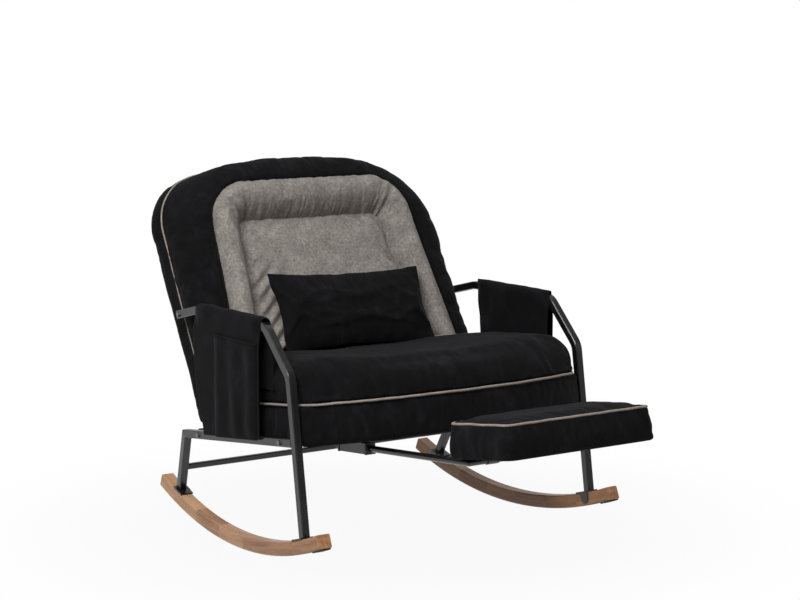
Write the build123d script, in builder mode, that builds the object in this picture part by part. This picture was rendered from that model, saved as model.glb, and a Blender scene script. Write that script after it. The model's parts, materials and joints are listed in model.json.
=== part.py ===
"""Rocking armchair on bent steel side frames and wooden rockers, with a slide-and-flip footrest."""
import os
from math import asin, atan2, cos, degrees, hypot, radians, sin, sqrt

from build123d import *

# The origin is on the floor, midway between the points where the rockers touch it.
# +X is the sitter's left, -Y is the front, +Z is up. All sizes are in millimetres.
SIDES = (("left", 1), ("right", -1))
SIGNS = (1, -1)

# Side frames, square tube, measured to the tube's centre line
FRAME_HALF_WIDTH = 425.0
TUBE = 20.0
TUBE_WALL = 1.5
TUBE_CORNER = 2.0
BEND_RADIUS = 45.0
FRONT_FOOT_Y = -309.5
REAR_FOOT_Y = 309.5
LEG_BEND_Y = -253.5
LEG_BEND_Z = 449.0
ARM_HEIGHT = 557.0
ARM_FRONT_Y = -145.5
ARM_REAR_Y = 172.5
ARM_END_Y = 268.0
ARM_END_Z = 534.5
RAIL_FRONT_Z = 299.0
RAIL_REAR_Y = 239.5
RAIL_REAR_Z = 238.0
CROSSBAR = 14.0
CROSSBAR_DROP = 0.6

# Rockers, arcs of a circle that stand nearer together at the back
ROCKER_RADIUS = 1080.0
ROCKER_HEIGHT = 33.0
ROCKER_WIDTH = 34.0
ROCKER_FRONT = 404.0
ROCKER_REAR = 396.0
ROCKER_EDGE = 2.5
TOE_IN = 20.0
FOOT_LENGTH = 44.0
FOOT_PLATE = 4.0
TAB_WIDTH = 26.0
TAB_DROP = 26.0
TAB_PLATE = 3.0
STOP_LENGTH = 34.0
STOP_PLATE = 3.0

# Seat, measured along and square to the seat rails
SEAT_SIDE_GAP = 15.0
SEAT_SIDE_FRONT = -12.0
SEAT_CENTRE_FRONT = -103.0
SEAT_BOTTOM = -10.0
SEAT_PIPING = 85.0
SEAT_TOP = 187.0
SEAT_CROWN = 6.0
SEAT_NOSE = 92.0
SEAT_SIDE_ROLL = 38.0
SEAT_ROLL_POWER = 10
SEAT_SHARES = (-1, -0.92, -0.7, 0, 0.7, 0.92, 1)
SEAT_SKIRT = 6.0
SEAT_FRAME_PLATE = 20.0
SEAT_FRAME_REAR = 500.0
SEAT_MEMBER = 62.0
REAR_MEMBER_FRONT = 318.0
BATTEN_WIDTH = 70.0
STRAP_WIDTH = 45.0
STRAP_PLATE = 2.0
CROSS_STRAPS = 5
LONG_STRAPS = 6
DUST_COVER_PLATE = 1.5
SOFT_GAP = 0.6

# Back, measured in its own leaning plane, which passes behind the bolster's outer seam
BACK_LEAN = 28.3
BACK_FOOT_Y = 64.0
BACK_FOOT_Z = 300.0
BACK_SIDE_GAP = 15.5
BACK_TAPER = 13.5
BACK_SHOULDER_S = 663.0
BACK_TOP_S = 701.0
BACK_CORNER_RADIUS = 247.0
BACK_REAR_CORNER_RADIUS = 180.0
BACK_REAR_RISE = 10.0
BACK_DEPTH = 152.0
BACK_WALL = 26.0
BACK_REAR_WALL = 14.0
PIPING_DEPTH = 88.0
PIPING_VALLEY = 6.0
RIM_DEPTH = 39.0
RECESS_DEPTH = 44.0
BACK_TUBE = 20.0
BACK_FRAME_INSET = 47.5
BACK_FRAME_TOP_S = 622.0
BACK_FRAME_BEND = 160.0
BACK_FOOT_LENGTH = 70.0
BACK_FOOT_WIDTH = 44.0
BACK_STRAPS = 4
BACK_BOLT_GRIP = 16.0

# Grey bolster and pad on the front of the back
BOLSTER_LOW_INSET = 66.0
BOLSTER_HIGH_INSET = 119.5
BOLSTER_TOP_S = 627.0
BOLSTER_SIDE_WIDTH = 86.0
BOLSTER_TOP_WIDTH = 100.0
BOLSTER_CORNER = 117.0
BOLSTER_INNER_CORNER = 32.0
BOLSTER_CREST = 32.0
BOLSTER_SEAM_DEPTH = 4.0
BACK_PAD_RISE = 34.0
BACK_PAD_SHOULDER = 18.0
BACK_PAD_EDGE = 4.5
BACK_PAD_FACE_INSET = 54.0

# Loose lumbar pillow
PILLOW_WIDTH = 456.0
PILLOW_HEIGHT = 206.0
PILLOW_DEPTH = 112.0
PILLOW_S = 254.0
PILLOW_FACE_INSET = 66.0
PILLOW_SHOULDER = 39.0
PILLOW_SHOULDER_INSET = 28.0

# Arm covers with their pads and side pockets
COVER_FRONT_Y = -156.0
COVER_REAR_Y = 182.0
COVER_REAR_SLANT = 50.0
COVER_CLOTH = 3.0
ARM_PAD_TOP = 4.0
ARM_PAD_SIDE = 1.5
COVER_ROUND = 11.0
COVER_INNER_LOW = 400.0
COVER_OUTER_LOW = 3.0
POCKET_FRONT_Y = -140.0
POCKET_REAR_Y = 66.0
POCKET_MOUTH_Z = 510.0
POCKET_BULGE = 13.0
POCKET_VALLEY = 9.0
POCKET_FOLDS = 3
POCKET_CLOTH = 2.5
POCKET_BOTTOM = 8.0

# Footrest: a bent rod frame that slides under the seat and carries a pad that flips over on its front bar
BAR_Y = -610.0
BAR_Z = 282.0
ROD = 16.0
ROD_WALL = 1.5
ROD_HALF_SPACING = 180.0
ROD_LENGTH = 525.0
SLIDE_SLOPE = 5.0
GUIDE = 26.0
GUIDE_BORE = 20.4
GUIDE_FRONT = 400.0
GUIDE_LENGTH = 110.0
GUIDE_WEB = 3.0
GUIDE_FLANGE = 66.0
GUIDE_FLANGE_LENGTH = 84.0
BUSH_HEAD = 7.0
BUSH_HEAD_WIDTH = 28.0
ROD_STOP_LENGTH = 15.0
ROD_STOP_RADIUS = 11.2
PAD_TILT = 8.0
PAD_OFFSET = 12.0
PAD_FRONT = -190.0
PAD_REAR = 34.0
PAD_HALF_WIDTH = 208.0
PAD_BOXING = 78.0
PAD_CROWN = 10.0
PAD_CORNER = 18.0
PAD_FACE_INSET = 60.0
PAD_SHOULDER_RISE = 7.0
PAD_SHOULDER_INSET = 25.0
BOARD_PLATE = 9.0
BOARD_INSET = 8.0
CLIP_HALF_SPACING = 115.0
CLIP_WIDTH = 32.0
CLIP_PLATE = 2.0
CLIP_FLANGE = 14.0

# Fasteners and fits
BOLT_RADIUS = 4.0
BOLT_HEAD_RADIUS = 6.5
BOLT_HEAD = 4.0
HEAD_SIDES = 6
SHANK_SIDES = 12
BOLT_GRIP = 44.0
HOLE_CLEARANCE = 0.2
RUNNING_CLEARANCE = 0.08
STOP_GAP = 0.3
SEAT_BOLT_FRONT = 60.0
SEAT_BOLT_REAR = 445.0

# Places worked out from the sizes above
SEAT_HALF_WIDTH = FRAME_HALF_WIDTH - SEAT_SIDE_GAP
BACK_HALF_WIDTH = FRAME_HALF_WIDTH - BACK_SIDE_GAP
BACK_FRAME_HALF_WIDTH = BACK_HALF_WIDTH - BACK_FRAME_INSET
LEG_SLOPE = (LEG_BEND_Y - FRONT_FOOT_Y) / (LEG_BEND_Z - (ROCKER_RADIUS - sqrt(
    (ROCKER_RADIUS - ROCKER_HEIGHT) ** 2 - FRONT_FOOT_Y**2)))
RAIL_FRONT_Y = LEG_BEND_Y - LEG_SLOPE * (LEG_BEND_Z - RAIL_FRONT_Z)
SEAT_TILT = atan2(RAIL_FRONT_Z - RAIL_REAR_Z, RAIL_REAR_Y - RAIL_FRONT_Y)
RAIL_LENGTH = hypot(RAIL_FRONT_Z - RAIL_REAR_Z, RAIL_REAR_Y - RAIL_FRONT_Y)
TOE_ANGLE = atan2(TOE_IN, REAR_FOOT_Y - FRONT_FOOT_Y)
LEAN = radians(BACK_LEAN)

seat_plane = Plane((0, RAIL_FRONT_Y, RAIL_FRONT_Z), x_dir=(1, 0, 0),
                   z_dir=(0, sin(SEAT_TILT), cos(SEAT_TILT)))
back_plane = Plane((0, BACK_FOOT_Y, BACK_FOOT_Z), x_dir=(1, 0, 0), z_dir=(0, -cos(LEAN), sin(LEAN)))
slide_plane = Plane((0, BAR_Y, BAR_Z), x_dir=(1, 0, 0),
                    z_dir=(0, sin(radians(SLIDE_SLOPE)), cos(radians(SLIDE_SLOPE))))
pad_plane = Plane((0, BAR_Y, BAR_Z), x_dir=(1, 0, 0),
                  z_dir=(0, sin(radians(PAD_TILT)), cos(radians(PAD_TILT))))


def rocker_plane(sign):
    """The upright plane of one rocker: local x runs to the rear along it, local y is up."""
    middle = FRAME_HALF_WIDTH + TOE_IN * FRONT_FOOT_Y / (REAR_FOOT_Y - FRONT_FOOT_Y)
    return Plane((sign * middle, 0, 0), x_dir=(-sign * sin(TOE_ANGLE), cos(TOE_ANGLE), 0),
                 z_dir=(cos(TOE_ANGLE), sign * sin(TOE_ANGLE), 0))


def rocker_top(distance):
    """Height of the rocker's upper face at a distance along it from the contact point."""
    return ROCKER_RADIUS - sqrt((ROCKER_RADIUS - ROCKER_HEIGHT) ** 2 - distance**2)


def rocker_sector(sign, low, high, inner_radius, outer_radius, shift=0.0):
    """A slice of the rocker's ring, between two distances along it and two radii."""
    start = degrees(asin(low / ROCKER_RADIUS)) - 90
    size = degrees(asin(high / ROCKER_RADIUS)) - 90 - start
    with BuildSketch(rocker_plane(sign).offset(shift)) as slice_face:
        with BuildLine():
            outer = CenterArc((0, ROCKER_RADIUS), outer_radius, start, size)
            inner = CenterArc((0, ROCKER_RADIUS), inner_radius, start, size)
            Line(outer @ 0, inner @ 0)
            Line(outer @ 1, inner @ 1)
        make_face()
    return slice_face.sketch


def tube_face(plane, side, wall, corner=0.0):
    """A hollow square section, with eased corners where a corner size is given."""
    with BuildSketch(plane) as section:
        Rectangle(side, side)
        if corner:
            chamfer(section.vertices(), corner)
        Rectangle(side - 2 * wall, side - 2 * wall, mode=Mode.SUBTRACT)
    return section.sketch


def pipe_face(plane, diameter, wall):
    """A hollow round section."""
    with BuildSketch(plane) as section:
        Circle(diameter / 2)
        Circle(diameter / 2 - wall, mode=Mode.SUBTRACT)
    return section.sketch


def disc(plane, radius):
    """A round face on a plane, centred on its origin."""
    with BuildSketch(plane) as face:
        Circle(radius)
    return face.sketch


def polygon(plane, radius, sides):
    """A many-sided face on a plane, centred on its origin, for bolts and their holes."""
    with BuildSketch(plane) as face:
        RegularPolygon(radius, sides)
    return face.sketch


def bolt_hole(plane):
    """The face of a hole that a bolt goes through."""
    return polygon(plane, BOLT_RADIUS + HOLE_CLEARANCE, SHANK_SIDES)


def write(builder, name):
    """Label a finished piece and write it to its own file."""
    builder.part.label = name
    export_step(builder.part, f"parts/{name}.step")


def seat_front(x):
    """How far forward the bowed front of the seat reaches at a distance from the middle."""
    sag = SEAT_SIDE_FRONT - SEAT_CENTRE_FRONT
    bow_radius = (SEAT_HALF_WIDTH**2 + sag**2) / (2 * sag)
    return SEAT_CENTRE_FRONT + bow_radius - sqrt(bow_radius**2 - x**2)


def seat_outline(height, inset, rear):
    """Plan outline of the seat at a height over the rails, drawn in by inset."""
    half = SEAT_HALF_WIDTH - inset
    side_front = seat_front(half) + inset
    with BuildSketch(seat_plane.offset(height)) as outline:
        with BuildLine():
            ThreePointArc((-half, side_front), (0, SEAT_CENTRE_FRONT + inset), (half, side_front))
            Polyline((half, side_front), (half, rear), (-half, rear), (-half, side_front))
        make_face()
    return outline.sketch


def back_outline(depth, inset, low, rear=0.0):
    """Outline of the back at a depth behind the bolster's seam, from its front rim (rear 0) to its rear (1)."""
    half = BACK_HALF_WIDTH - inset
    shoulder = BACK_SHOULDER_S - inset
    shoulder_half = half - BACK_TAPER * (1 - rear)
    corner = BACK_CORNER_RADIUS + (BACK_REAR_CORNER_RADIUS - BACK_CORNER_RADIUS) * rear - inset
    with BuildSketch(back_plane.offset(-depth)) as outline:
        with BuildLine():
            Polyline((-shoulder_half, shoulder), (-half, low), (half, low), (shoulder_half, shoulder))
            ThreePointArc((-shoulder_half, shoulder), (0, BACK_TOP_S + BACK_REAR_RISE * rear - inset),
                          (shoulder_half, shoulder))
        make_face()
        fillet(outline.vertices().group_by(Axis.Y)[-1], corner)
    return outline.sketch


def pad_outline(height, inset):
    """Outline of the footrest pad at a height over its front bar."""
    depth = PAD_REAR - PAD_FRONT
    with BuildSketch(pad_plane.offset(height)) as outline:
        with Locations((0, (PAD_REAR + PAD_FRONT) / 2)):
            RectangleRounded(2 * (PAD_HALF_WIDTH - inset), depth - 2 * inset, PAD_CORNER)
    return outline.sketch


def pillow_outline(shift, inset):
    """Outline of the lumbar pillow at a distance from its seam, drawn in by inset."""
    with BuildSketch(pillow_plane.offset(shift)) as outline:
        Rectangle(PILLOW_WIDTH - 2 * inset, PILLOW_HEIGHT - 2 * inset)
    return outline.sketch


def back_s_at_height(depth, height):
    """Where a line in the leaning back, at a depth, crosses a height over the seat rails."""
    low = seat_plane.to_local_coords(back_plane.from_local_coords((0, 0, -depth))).Z
    high = seat_plane.to_local_coords(back_plane.from_local_coords((0, 1, -depth))).Z
    return (height - low) / (high - low)


os.makedirs("parts", exist_ok=True)

# Arm tubes: front leg, slanted bend, armrest and the short run down to the back, in one bent tube
arm_run = Vector(0, ARM_END_Y - ARM_REAR_Y, ARM_END_Z - ARM_HEIGHT).normalized()
arm_bolt_y = ARM_END_Y - BOLT_HEAD_RADIUS * 2 * arm_run.Y
arm_bolt_z = ARM_END_Z - BOLT_HEAD_RADIUS * 2 * arm_run.Z
arm_bolt_axis = Plane((0, arm_bolt_y, arm_bolt_z), x_dir=(0, 1, 0), z_dir=(1, 0, 0))
front_foot_low = rocker_top(FRONT_FOOT_Y) - ROCKER_HEIGHT / 2
for side, sign in SIDES:
    with BuildPart() as arm_tube:
        with BuildLine(Plane.YZ.offset(sign * FRAME_HALF_WIDTH)) as arm_path:
            foot = (FRONT_FOOT_Y - LEG_SLOPE * (rocker_top(FRONT_FOOT_Y) - front_foot_low), front_foot_low)
            FilletPolyline(foot, (LEG_BEND_Y, LEG_BEND_Z), (ARM_FRONT_Y, ARM_HEIGHT),
                           (ARM_REAR_Y, ARM_HEIGHT), (ARM_END_Y, ARM_END_Z), radius=BEND_RADIUS)
        leg_plane = Plane(arm_path.line @ 0, x_dir=(1, 0, 0), z_dir=arm_path.line % 0)
        sweep(tube_face(leg_plane, TUBE, TUBE_WALL, TUBE_CORNER), path=arm_path.line)
        extrude(rocker_sector(sign, FRONT_FOOT_Y - TUBE * 2, FRONT_FOOT_Y + TUBE * 2,
                              ROCKER_RADIUS - ROCKER_HEIGHT - FOOT_PLATE, ROCKER_RADIUS + TUBE),
                amount=TUBE * 2, both=True, mode=Mode.SUBTRACT)
        extrude(bolt_hole(arm_bolt_axis), amount=sign * FRAME_HALF_WIDTH * 2,
                mode=Mode.SUBTRACT)
    write(arm_tube, f"{side}_arm_tube")

# Seat rails, mitred to the rear legs at the back and butted against the front legs
rail_corner = Vector(0, RAIL_REAR_Y, RAIL_REAR_Z)
rear_foot_x = FRAME_HALF_WIDTH - TOE_IN
rail_forward = Vector(0, RAIL_FRONT_Y - RAIL_REAR_Y, RAIL_FRONT_Z - RAIL_REAR_Z).normalized()
leg_drop = Vector(0, REAR_FOOT_Y - RAIL_REAR_Y, rocker_top(REAR_FOOT_Y) - RAIL_REAR_Z).normalized()
leg_up = Vector(0, LEG_SLOPE, 1).normalized()
for side, sign in SIDES:
    corner = rail_corner + Vector(sign * FRAME_HALF_WIDTH, 0, 0)
    mitre = Plane(corner, z_dir=rail_forward - leg_drop)
    with BuildPart() as seat_rail:
        rail_end = Plane(corner - rail_forward * TUBE, x_dir=(1, 0, 0), z_dir=rail_forward)
        extrude(tube_face(rail_end, TUBE, TUBE_WALL, TUBE_CORNER), amount=RAIL_LENGTH + TUBE)
        split(bisect_by=mitre, keep=Keep.TOP)
        leg_back_face = Plane((0, RAIL_FRONT_Y + TUBE / 2 / leg_up.Z, RAIL_FRONT_Z), x_dir=(1, 0, 0),
                              z_dir=(0, leg_up.Z, -leg_up.Y))
        split(bisect_by=leg_back_face, keep=Keep.TOP)
        for place in (SEAT_BOLT_FRONT, SEAT_BOLT_REAR):
            hole_plane = Plane(seat_plane.from_local_coords((0, place, 0)), x_dir=(0, 1, 0), z_dir=(1, 0, 0))
            extrude(bolt_hole(hole_plane), amount=sign * FRAME_HALF_WIDTH * 2,
                    mode=Mode.SUBTRACT)
    write(seat_rail, f"{side}_seat_rail")

    # Rear legs lean inwards to the toed-in rockers
    foot = Vector(sign * rear_foot_x, REAR_FOOT_Y, rocker_top(REAR_FOOT_Y))
    lean_dir = (foot - corner).normalized()
    with BuildPart() as rear_leg:
        leg_top = Plane(corner - lean_dir * TUBE, x_dir=(1, 0, 0), z_dir=lean_dir)
        extrude(tube_face(leg_top, TUBE, TUBE_WALL, TUBE_CORNER), amount=(foot - corner).length + TUBE * 2)
        split(bisect_by=mitre, keep=Keep.BOTTOM)
        extrude(rocker_sector(sign, REAR_FOOT_Y - TUBE * 2, REAR_FOOT_Y + TUBE * 2,
                              ROCKER_RADIUS - ROCKER_HEIGHT - FOOT_PLATE, ROCKER_RADIUS + TUBE),
                amount=TUBE * 2, both=True, mode=Mode.SUBTRACT)
    write(rear_leg, f"{side}_rear_leg")

# Rear crossbar between the rear legs, cut to their leaning inner faces
with BuildPart() as rear_crossbar:
    left_corner = rail_corner + Vector(FRAME_HALF_WIDTH, 0, 0)
    left_foot = Vector(rear_foot_x, REAR_FOOT_Y, rocker_top(REAR_FOOT_Y))
    bar_end = left_corner + (left_foot - left_corner) * CROSSBAR_DROP
    lean_dir = (left_foot - left_corner).normalized()
    bar_plane = Plane((-bar_end.X, bar_end.Y, bar_end.Z), x_dir=(0, 1, 0), z_dir=(1, 0, 0))
    extrude(tube_face(bar_plane, CROSSBAR, TUBE_WALL, TUBE_CORNER), amount=2 * bar_end.X)
    for sign in SIGNS:
        leg_x = Plane((0, 0, 0), x_dir=(1, 0, 0), z_dir=(sign * lean_dir.X, lean_dir.Y, lean_dir.Z)).x_dir
        inner_face = Plane(Vector(sign * bar_end.X, bar_end.Y, bar_end.Z) - leg_x * (sign * TUBE / 2),
                           z_dir=leg_x * -sign)
        split(bisect_by=inner_face, keep=Keep.TOP)
write(rear_crossbar, "rear_crossbar")

# Wooden rockers, with the foot plates that the legs stand on and their tabs
for side, sign in SIDES:
    with BuildPart() as rocker:
        extrude(rocker_sector(sign, -ROCKER_FRONT, ROCKER_REAR, ROCKER_RADIUS - ROCKER_HEIGHT, ROCKER_RADIUS),
                amount=ROCKER_WIDTH / 2, both=True)
        chamfer(rocker.edges().filter_by(GeomType.CIRCLE), ROCKER_EDGE)
    write(rocker, f"{side}_rocker")

    for end, foot_place in (("front", FRONT_FOOT_Y), ("rear", REAR_FOOT_Y)):
        top_radius = ROCKER_RADIUS - ROCKER_HEIGHT
        with BuildPart() as foot_bracket:
            extrude(rocker_sector(sign, foot_place - FOOT_LENGTH / 2, foot_place + FOOT_LENGTH / 2,
                                  top_radius - FOOT_PLATE, top_radius),
                    amount=ROCKER_WIDTH / 2, both=True)
            foot_turn = degrees(asin(foot_place / top_radius))
            with BuildSketch(rocker_plane(sign).offset(-sign * ROCKER_WIDTH / 2)):
                with Locations(Location((foot_place, rocker_top(foot_place)), foot_turn)):
                    with Locations((0, FOOT_PLATE - ROCKER_EDGE / 2)):
                        Rectangle(TAB_WIDTH, TAB_DROP / 2 + FOOT_PLATE, align=(Align.CENTER, Align.MAX))
                    with Locations((0, -TAB_DROP / 2)):
                        Circle(TAB_WIDTH / 2)
            extrude(amount=-sign * TAB_PLATE)
        write(foot_bracket, f"{side}_{end}_foot_bracket")

    with BuildPart() as rocker_stop:
        extrude(rocker_sector(sign, -ROCKER_FRONT + ROCKER_EDGE, -ROCKER_FRONT + ROCKER_EDGE + STOP_LENGTH,
                              ROCKER_RADIUS, ROCKER_RADIUS + STOP_PLATE),
                amount=ROCKER_WIDTH / 2 - ROCKER_EDGE, both=True)
    write(rocker_stop, f"{side}_rocker_stop")

# The back frame's plane goes through the bolts at the ends of the arms, and its feet stand on the seat frame
frame_top = SEAT_BOTTOM + SEAT_FRAME_PLATE
back_frame_depth = -back_plane.to_local_coords(Vector(0, arm_bolt_y, arm_bolt_z)).Z
back_foot_s = back_s_at_height(back_frame_depth, frame_top + FOOT_PLATE)
back_foot_v = seat_plane.to_local_coords(back_plane.from_local_coords((0, back_foot_s, -back_frame_depth))).Y
back_bolt_shift = BACK_FOOT_LENGTH / 2 - BOLT_HEAD_RADIUS

# Seat frame: a wooden ring with two battens for the footrest guides and a deep rear member for the back
frame_inset = SEAT_SKIRT + SOFT_GAP
with BuildPart() as seat_frame:
    extrude(seat_outline(SEAT_BOTTOM, frame_inset, SEAT_FRAME_REAR), amount=SEAT_FRAME_PLATE)
    window_front = SEAT_SIDE_FRONT + SEAT_MEMBER / 2
    outer_edge = SEAT_HALF_WIDTH - SEAT_MEMBER
    batten_in = ROD_HALF_SPACING - BATTEN_WIDTH / 2
    batten_out = ROD_HALF_SPACING + BATTEN_WIDTH / 2
    window_length = REAR_MEMBER_FRONT - window_front
    with BuildSketch(seat_plane.offset(SEAT_BOTTOM)):
        with Locations((0, window_front)):
            Rectangle(2 * batten_in, window_length, align=(Align.CENTER, Align.MIN))
        for sign in SIGNS:
            with Locations((sign * (batten_out + outer_edge) / 2, window_front)):
                Rectangle(outer_edge - batten_out, window_length, align=(Align.CENTER, Align.MIN))
    extrude(amount=SEAT_FRAME_PLATE, mode=Mode.SUBTRACT)
    for sign in SIGNS:
        for place in (SEAT_BOLT_FRONT, SEAT_BOLT_REAR):
            hole_plane = Plane(seat_plane.from_local_coords((sign * SEAT_HALF_WIDTH, place, 0)),
                               x_dir=(0, 1, 0), z_dir=(-sign, 0, 0))
            extrude(bolt_hole(hole_plane), amount=BOLT_GRIP, mode=Mode.SUBTRACT)
        for shift in (-1, 1):
            hole_plane = Plane(seat_plane.from_local_coords(
                (sign * BACK_FRAME_HALF_WIDTH + shift * back_bolt_shift, back_foot_v, frame_top)),
                z_dir=seat_plane.z_dir)
            extrude(bolt_hole(hole_plane), amount=-BACK_BOLT_GRIP,
                    mode=Mode.SUBTRACT)
write(seat_frame, "seat_frame")

# Seat bolts through the rails into the frame's edges
with BuildPart() as seat_bolts:
    for sign in SIGNS:
        for place in (SEAT_BOLT_FRONT, SEAT_BOLT_REAR):
            bolt_plane = Plane(seat_plane.from_local_coords((sign * (FRAME_HALF_WIDTH + TUBE / 2), place, 0)),
                               x_dir=(0, 1, 0), z_dir=(sign, 0, 0))
            extrude(polygon(bolt_plane, BOLT_RADIUS, SHANK_SIDES), amount=-BOLT_GRIP - TUBE)
            extrude(polygon(bolt_plane, BOLT_HEAD_RADIUS, HEAD_SIDES), amount=BOLT_HEAD)
write(seat_bolts, "seat_bolts")

# Elastic webbing stretched over the seat frame, cross straps under long straps
with BuildPart() as seat_webbing:
    strap_pitch = (REAR_MEMBER_FRONT - window_front) / CROSS_STRAPS
    with BuildSketch(seat_plane.offset(frame_top)):
        for index in range(CROSS_STRAPS):
            with Locations((0, window_front + strap_pitch * (index + 0.5))):
                Rectangle(2 * (SEAT_HALF_WIDTH - SEAT_MEMBER / 2), STRAP_WIDTH)
    extrude(amount=STRAP_PLATE)
    with BuildSketch(seat_plane.offset(frame_top + STRAP_PLATE)):
        long_pitch = 2 * outer_edge / LONG_STRAPS
        for index in range(LONG_STRAPS):
            with Locations((long_pitch * (index + 0.5) - outer_edge, (window_front + REAR_MEMBER_FRONT) / 2)):
                Rectangle(STRAP_WIDTH, window_length + STRAP_PLATE * 4)
    extrude(amount=STRAP_PLATE)
write(seat_webbing, "seat_webbing")

# Lower seat: padded boxing over the frame, with a skirt that hides the frame's edge
front_of_back = back_plane.offset(SOFT_GAP)
base_low = frame_top + 2 * STRAP_PLATE + SOFT_GAP
with BuildPart() as seat_base:
    loft([seat_outline(SEAT_BOTTOM, SEAT_SKIRT / 2, REAR_MEMBER_FRONT * 2),
          seat_outline((SEAT_BOTTOM + SEAT_PIPING) / 2, 0, REAR_MEMBER_FRONT * 2),
          seat_outline(SEAT_PIPING - SOFT_GAP, SEAT_SKIRT, REAR_MEMBER_FRONT * 2)], ruled=True)
    extrude(seat_outline(SEAT_BOTTOM, SEAT_SKIRT, SEAT_FRAME_REAR * 2), amount=base_low - SEAT_BOTTOM,
            mode=Mode.SUBTRACT)
    split(bisect_by=front_of_back, keep=Keep.TOP)
    for sign in SIGNS:
        hole_plane = Plane(seat_plane.from_local_coords((0, SEAT_BOLT_FRONT, 0)), x_dir=(0, 1, 0),
                           z_dir=(sign, 0, 0))
        extrude(bolt_hole(hole_plane), amount=FRAME_HALF_WIDTH, mode=Mode.SUBTRACT)
write(seat_base, "seat_base")


def seat_section(x, height):
    """Side profile of the seat cushion at a distance from the middle: nose, crowned top, back edge."""
    eighth = radians(45)
    front = seat_front(x) + SEAT_SKIRT / 2
    top = SEAT_PIPING + height
    rear_low = back_crossing(SEAT_PIPING)
    rear_high = back_crossing(top)

    def place(v, n):
        """Side-view place of a point measured along and square to the rails."""
        point = seat_plane.from_local_coords((0, v, n))
        return (point.Y, point.Z)

    with BuildSketch(Plane.YZ.offset(x)) as section:
        with BuildLine():
            ThreePointArc(place(front, SEAT_PIPING),
                          place(front + SEAT_NOSE * (1 - cos(eighth)), SEAT_PIPING + height * sin(eighth)),
                          place(front + SEAT_NOSE, top))
            ThreePointArc(place(front + SEAT_NOSE, top),
                          place((front + SEAT_NOSE + rear_high) / 2, top + SEAT_CROWN), place(rear_high, top))
            Polyline(place(rear_high, top), place(rear_low, SEAT_PIPING), place(front, SEAT_PIPING))
        make_face()
    return section.sketch


def back_crossing(height):
    """How far back the seat reaches, at a height over the rails, before it meets the back."""
    s = back_s_at_height(-2 * SOFT_GAP, height)
    return seat_plane.to_local_coords(back_plane.from_local_coords((0, s, 2 * SOFT_GAP))).Y


# Seat cushion, crowned, with a full rounded nose and rolled sides
rise = SEAT_TOP - SEAT_PIPING
edge = SEAT_HALF_WIDTH - SEAT_SKIRT
with BuildPart() as seat_cushion:
    sections = []
    for share in SEAT_SHARES:
        side_drop = SEAT_CROWN * share**2 + SEAT_SIDE_ROLL * share**SEAT_ROLL_POWER
        sections.append(seat_section(share * edge, rise - side_drop))
    loft(sections, ruled=True)
write(seat_cushion, "seat_cushion")

# Dust cover under the seat frame, cut away round the footrest guides
with BuildPart() as dust_cover:
    extrude(seat_outline(SEAT_BOTTOM, frame_inset + SEAT_SKIRT, SEAT_FRAME_REAR - SEAT_SKIRT),
            amount=-DUST_COVER_PLATE)
    for sign in SIGNS:
        flange_v = seat_plane.to_local_coords(
            slide_plane.from_local_coords((0, GUIDE_FRONT + GUIDE_LENGTH / 2, 0))).Y
        with BuildSketch(seat_plane.offset(SEAT_BOTTOM)):
            with Locations((sign * ROD_HALF_SPACING, flange_v)):
                Rectangle(GUIDE_FLANGE + GUIDE_WEB, GUIDE_FLANGE_LENGTH + GUIDE_WEB)
        extrude(amount=-DUST_COVER_PLATE, mode=Mode.SUBTRACT)
write(dust_cover, "dust_cover")

# Back frame: one bent tube arch welded to foot plates that bolt down on the seat frame
with BuildPart() as back_frame:
    with BuildLine(back_plane.offset(-back_frame_depth)) as arch_path:
        FilletPolyline((-BACK_FRAME_HALF_WIDTH, back_foot_s - BACK_TUBE),
                       (-BACK_FRAME_HALF_WIDTH, BACK_FRAME_TOP_S), (BACK_FRAME_HALF_WIDTH, BACK_FRAME_TOP_S),
                       (BACK_FRAME_HALF_WIDTH, back_foot_s - BACK_TUBE), radius=BACK_FRAME_BEND)
    arch_start = Plane(arch_path.line @ 0, x_dir=(1, 0, 0), z_dir=arch_path.line % 0)
    sweep(tube_face(arch_start, BACK_TUBE, TUBE_WALL), path=arch_path.line)
    split(bisect_by=seat_plane.offset(frame_top + FOOT_PLATE), keep=Keep.TOP)
    with BuildSketch(seat_plane.offset(frame_top)):
        for sign in SIGNS:
            with Locations((sign * BACK_FRAME_HALF_WIDTH, back_foot_v)):
                Rectangle(BACK_FOOT_LENGTH, BACK_FOOT_WIDTH)
                for shift in (-1, 1):
                    with Locations((shift * back_bolt_shift, 0)):
                        RegularPolygon(BOLT_RADIUS + HOLE_CLEARANCE, SHANK_SIDES, mode=Mode.SUBTRACT)
    extrude(amount=FOOT_PLATE)
    extrude(bolt_hole(arm_bolt_axis), amount=FRAME_HALF_WIDTH, both=True,
            mode=Mode.SUBTRACT)
write(back_frame, "back_frame")

# Bolts that hold the back frame's feet down
with BuildPart() as back_bolts:
    for sign in SIGNS:
        for shift in (-1, 1):
            head = seat_plane.from_local_coords(
                (sign * BACK_FRAME_HALF_WIDTH + shift * back_bolt_shift, back_foot_v, frame_top + FOOT_PLATE))
            bolt_plane = Plane(head, z_dir=seat_plane.z_dir)
            extrude(polygon(bolt_plane, BOLT_RADIUS, SHANK_SIDES), amount=-FOOT_PLATE - BACK_BOLT_GRIP)
            extrude(polygon(bolt_plane, BOLT_HEAD_RADIUS, HEAD_SIDES), amount=BOLT_HEAD)
write(back_bolts, "back_bolts")

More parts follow.
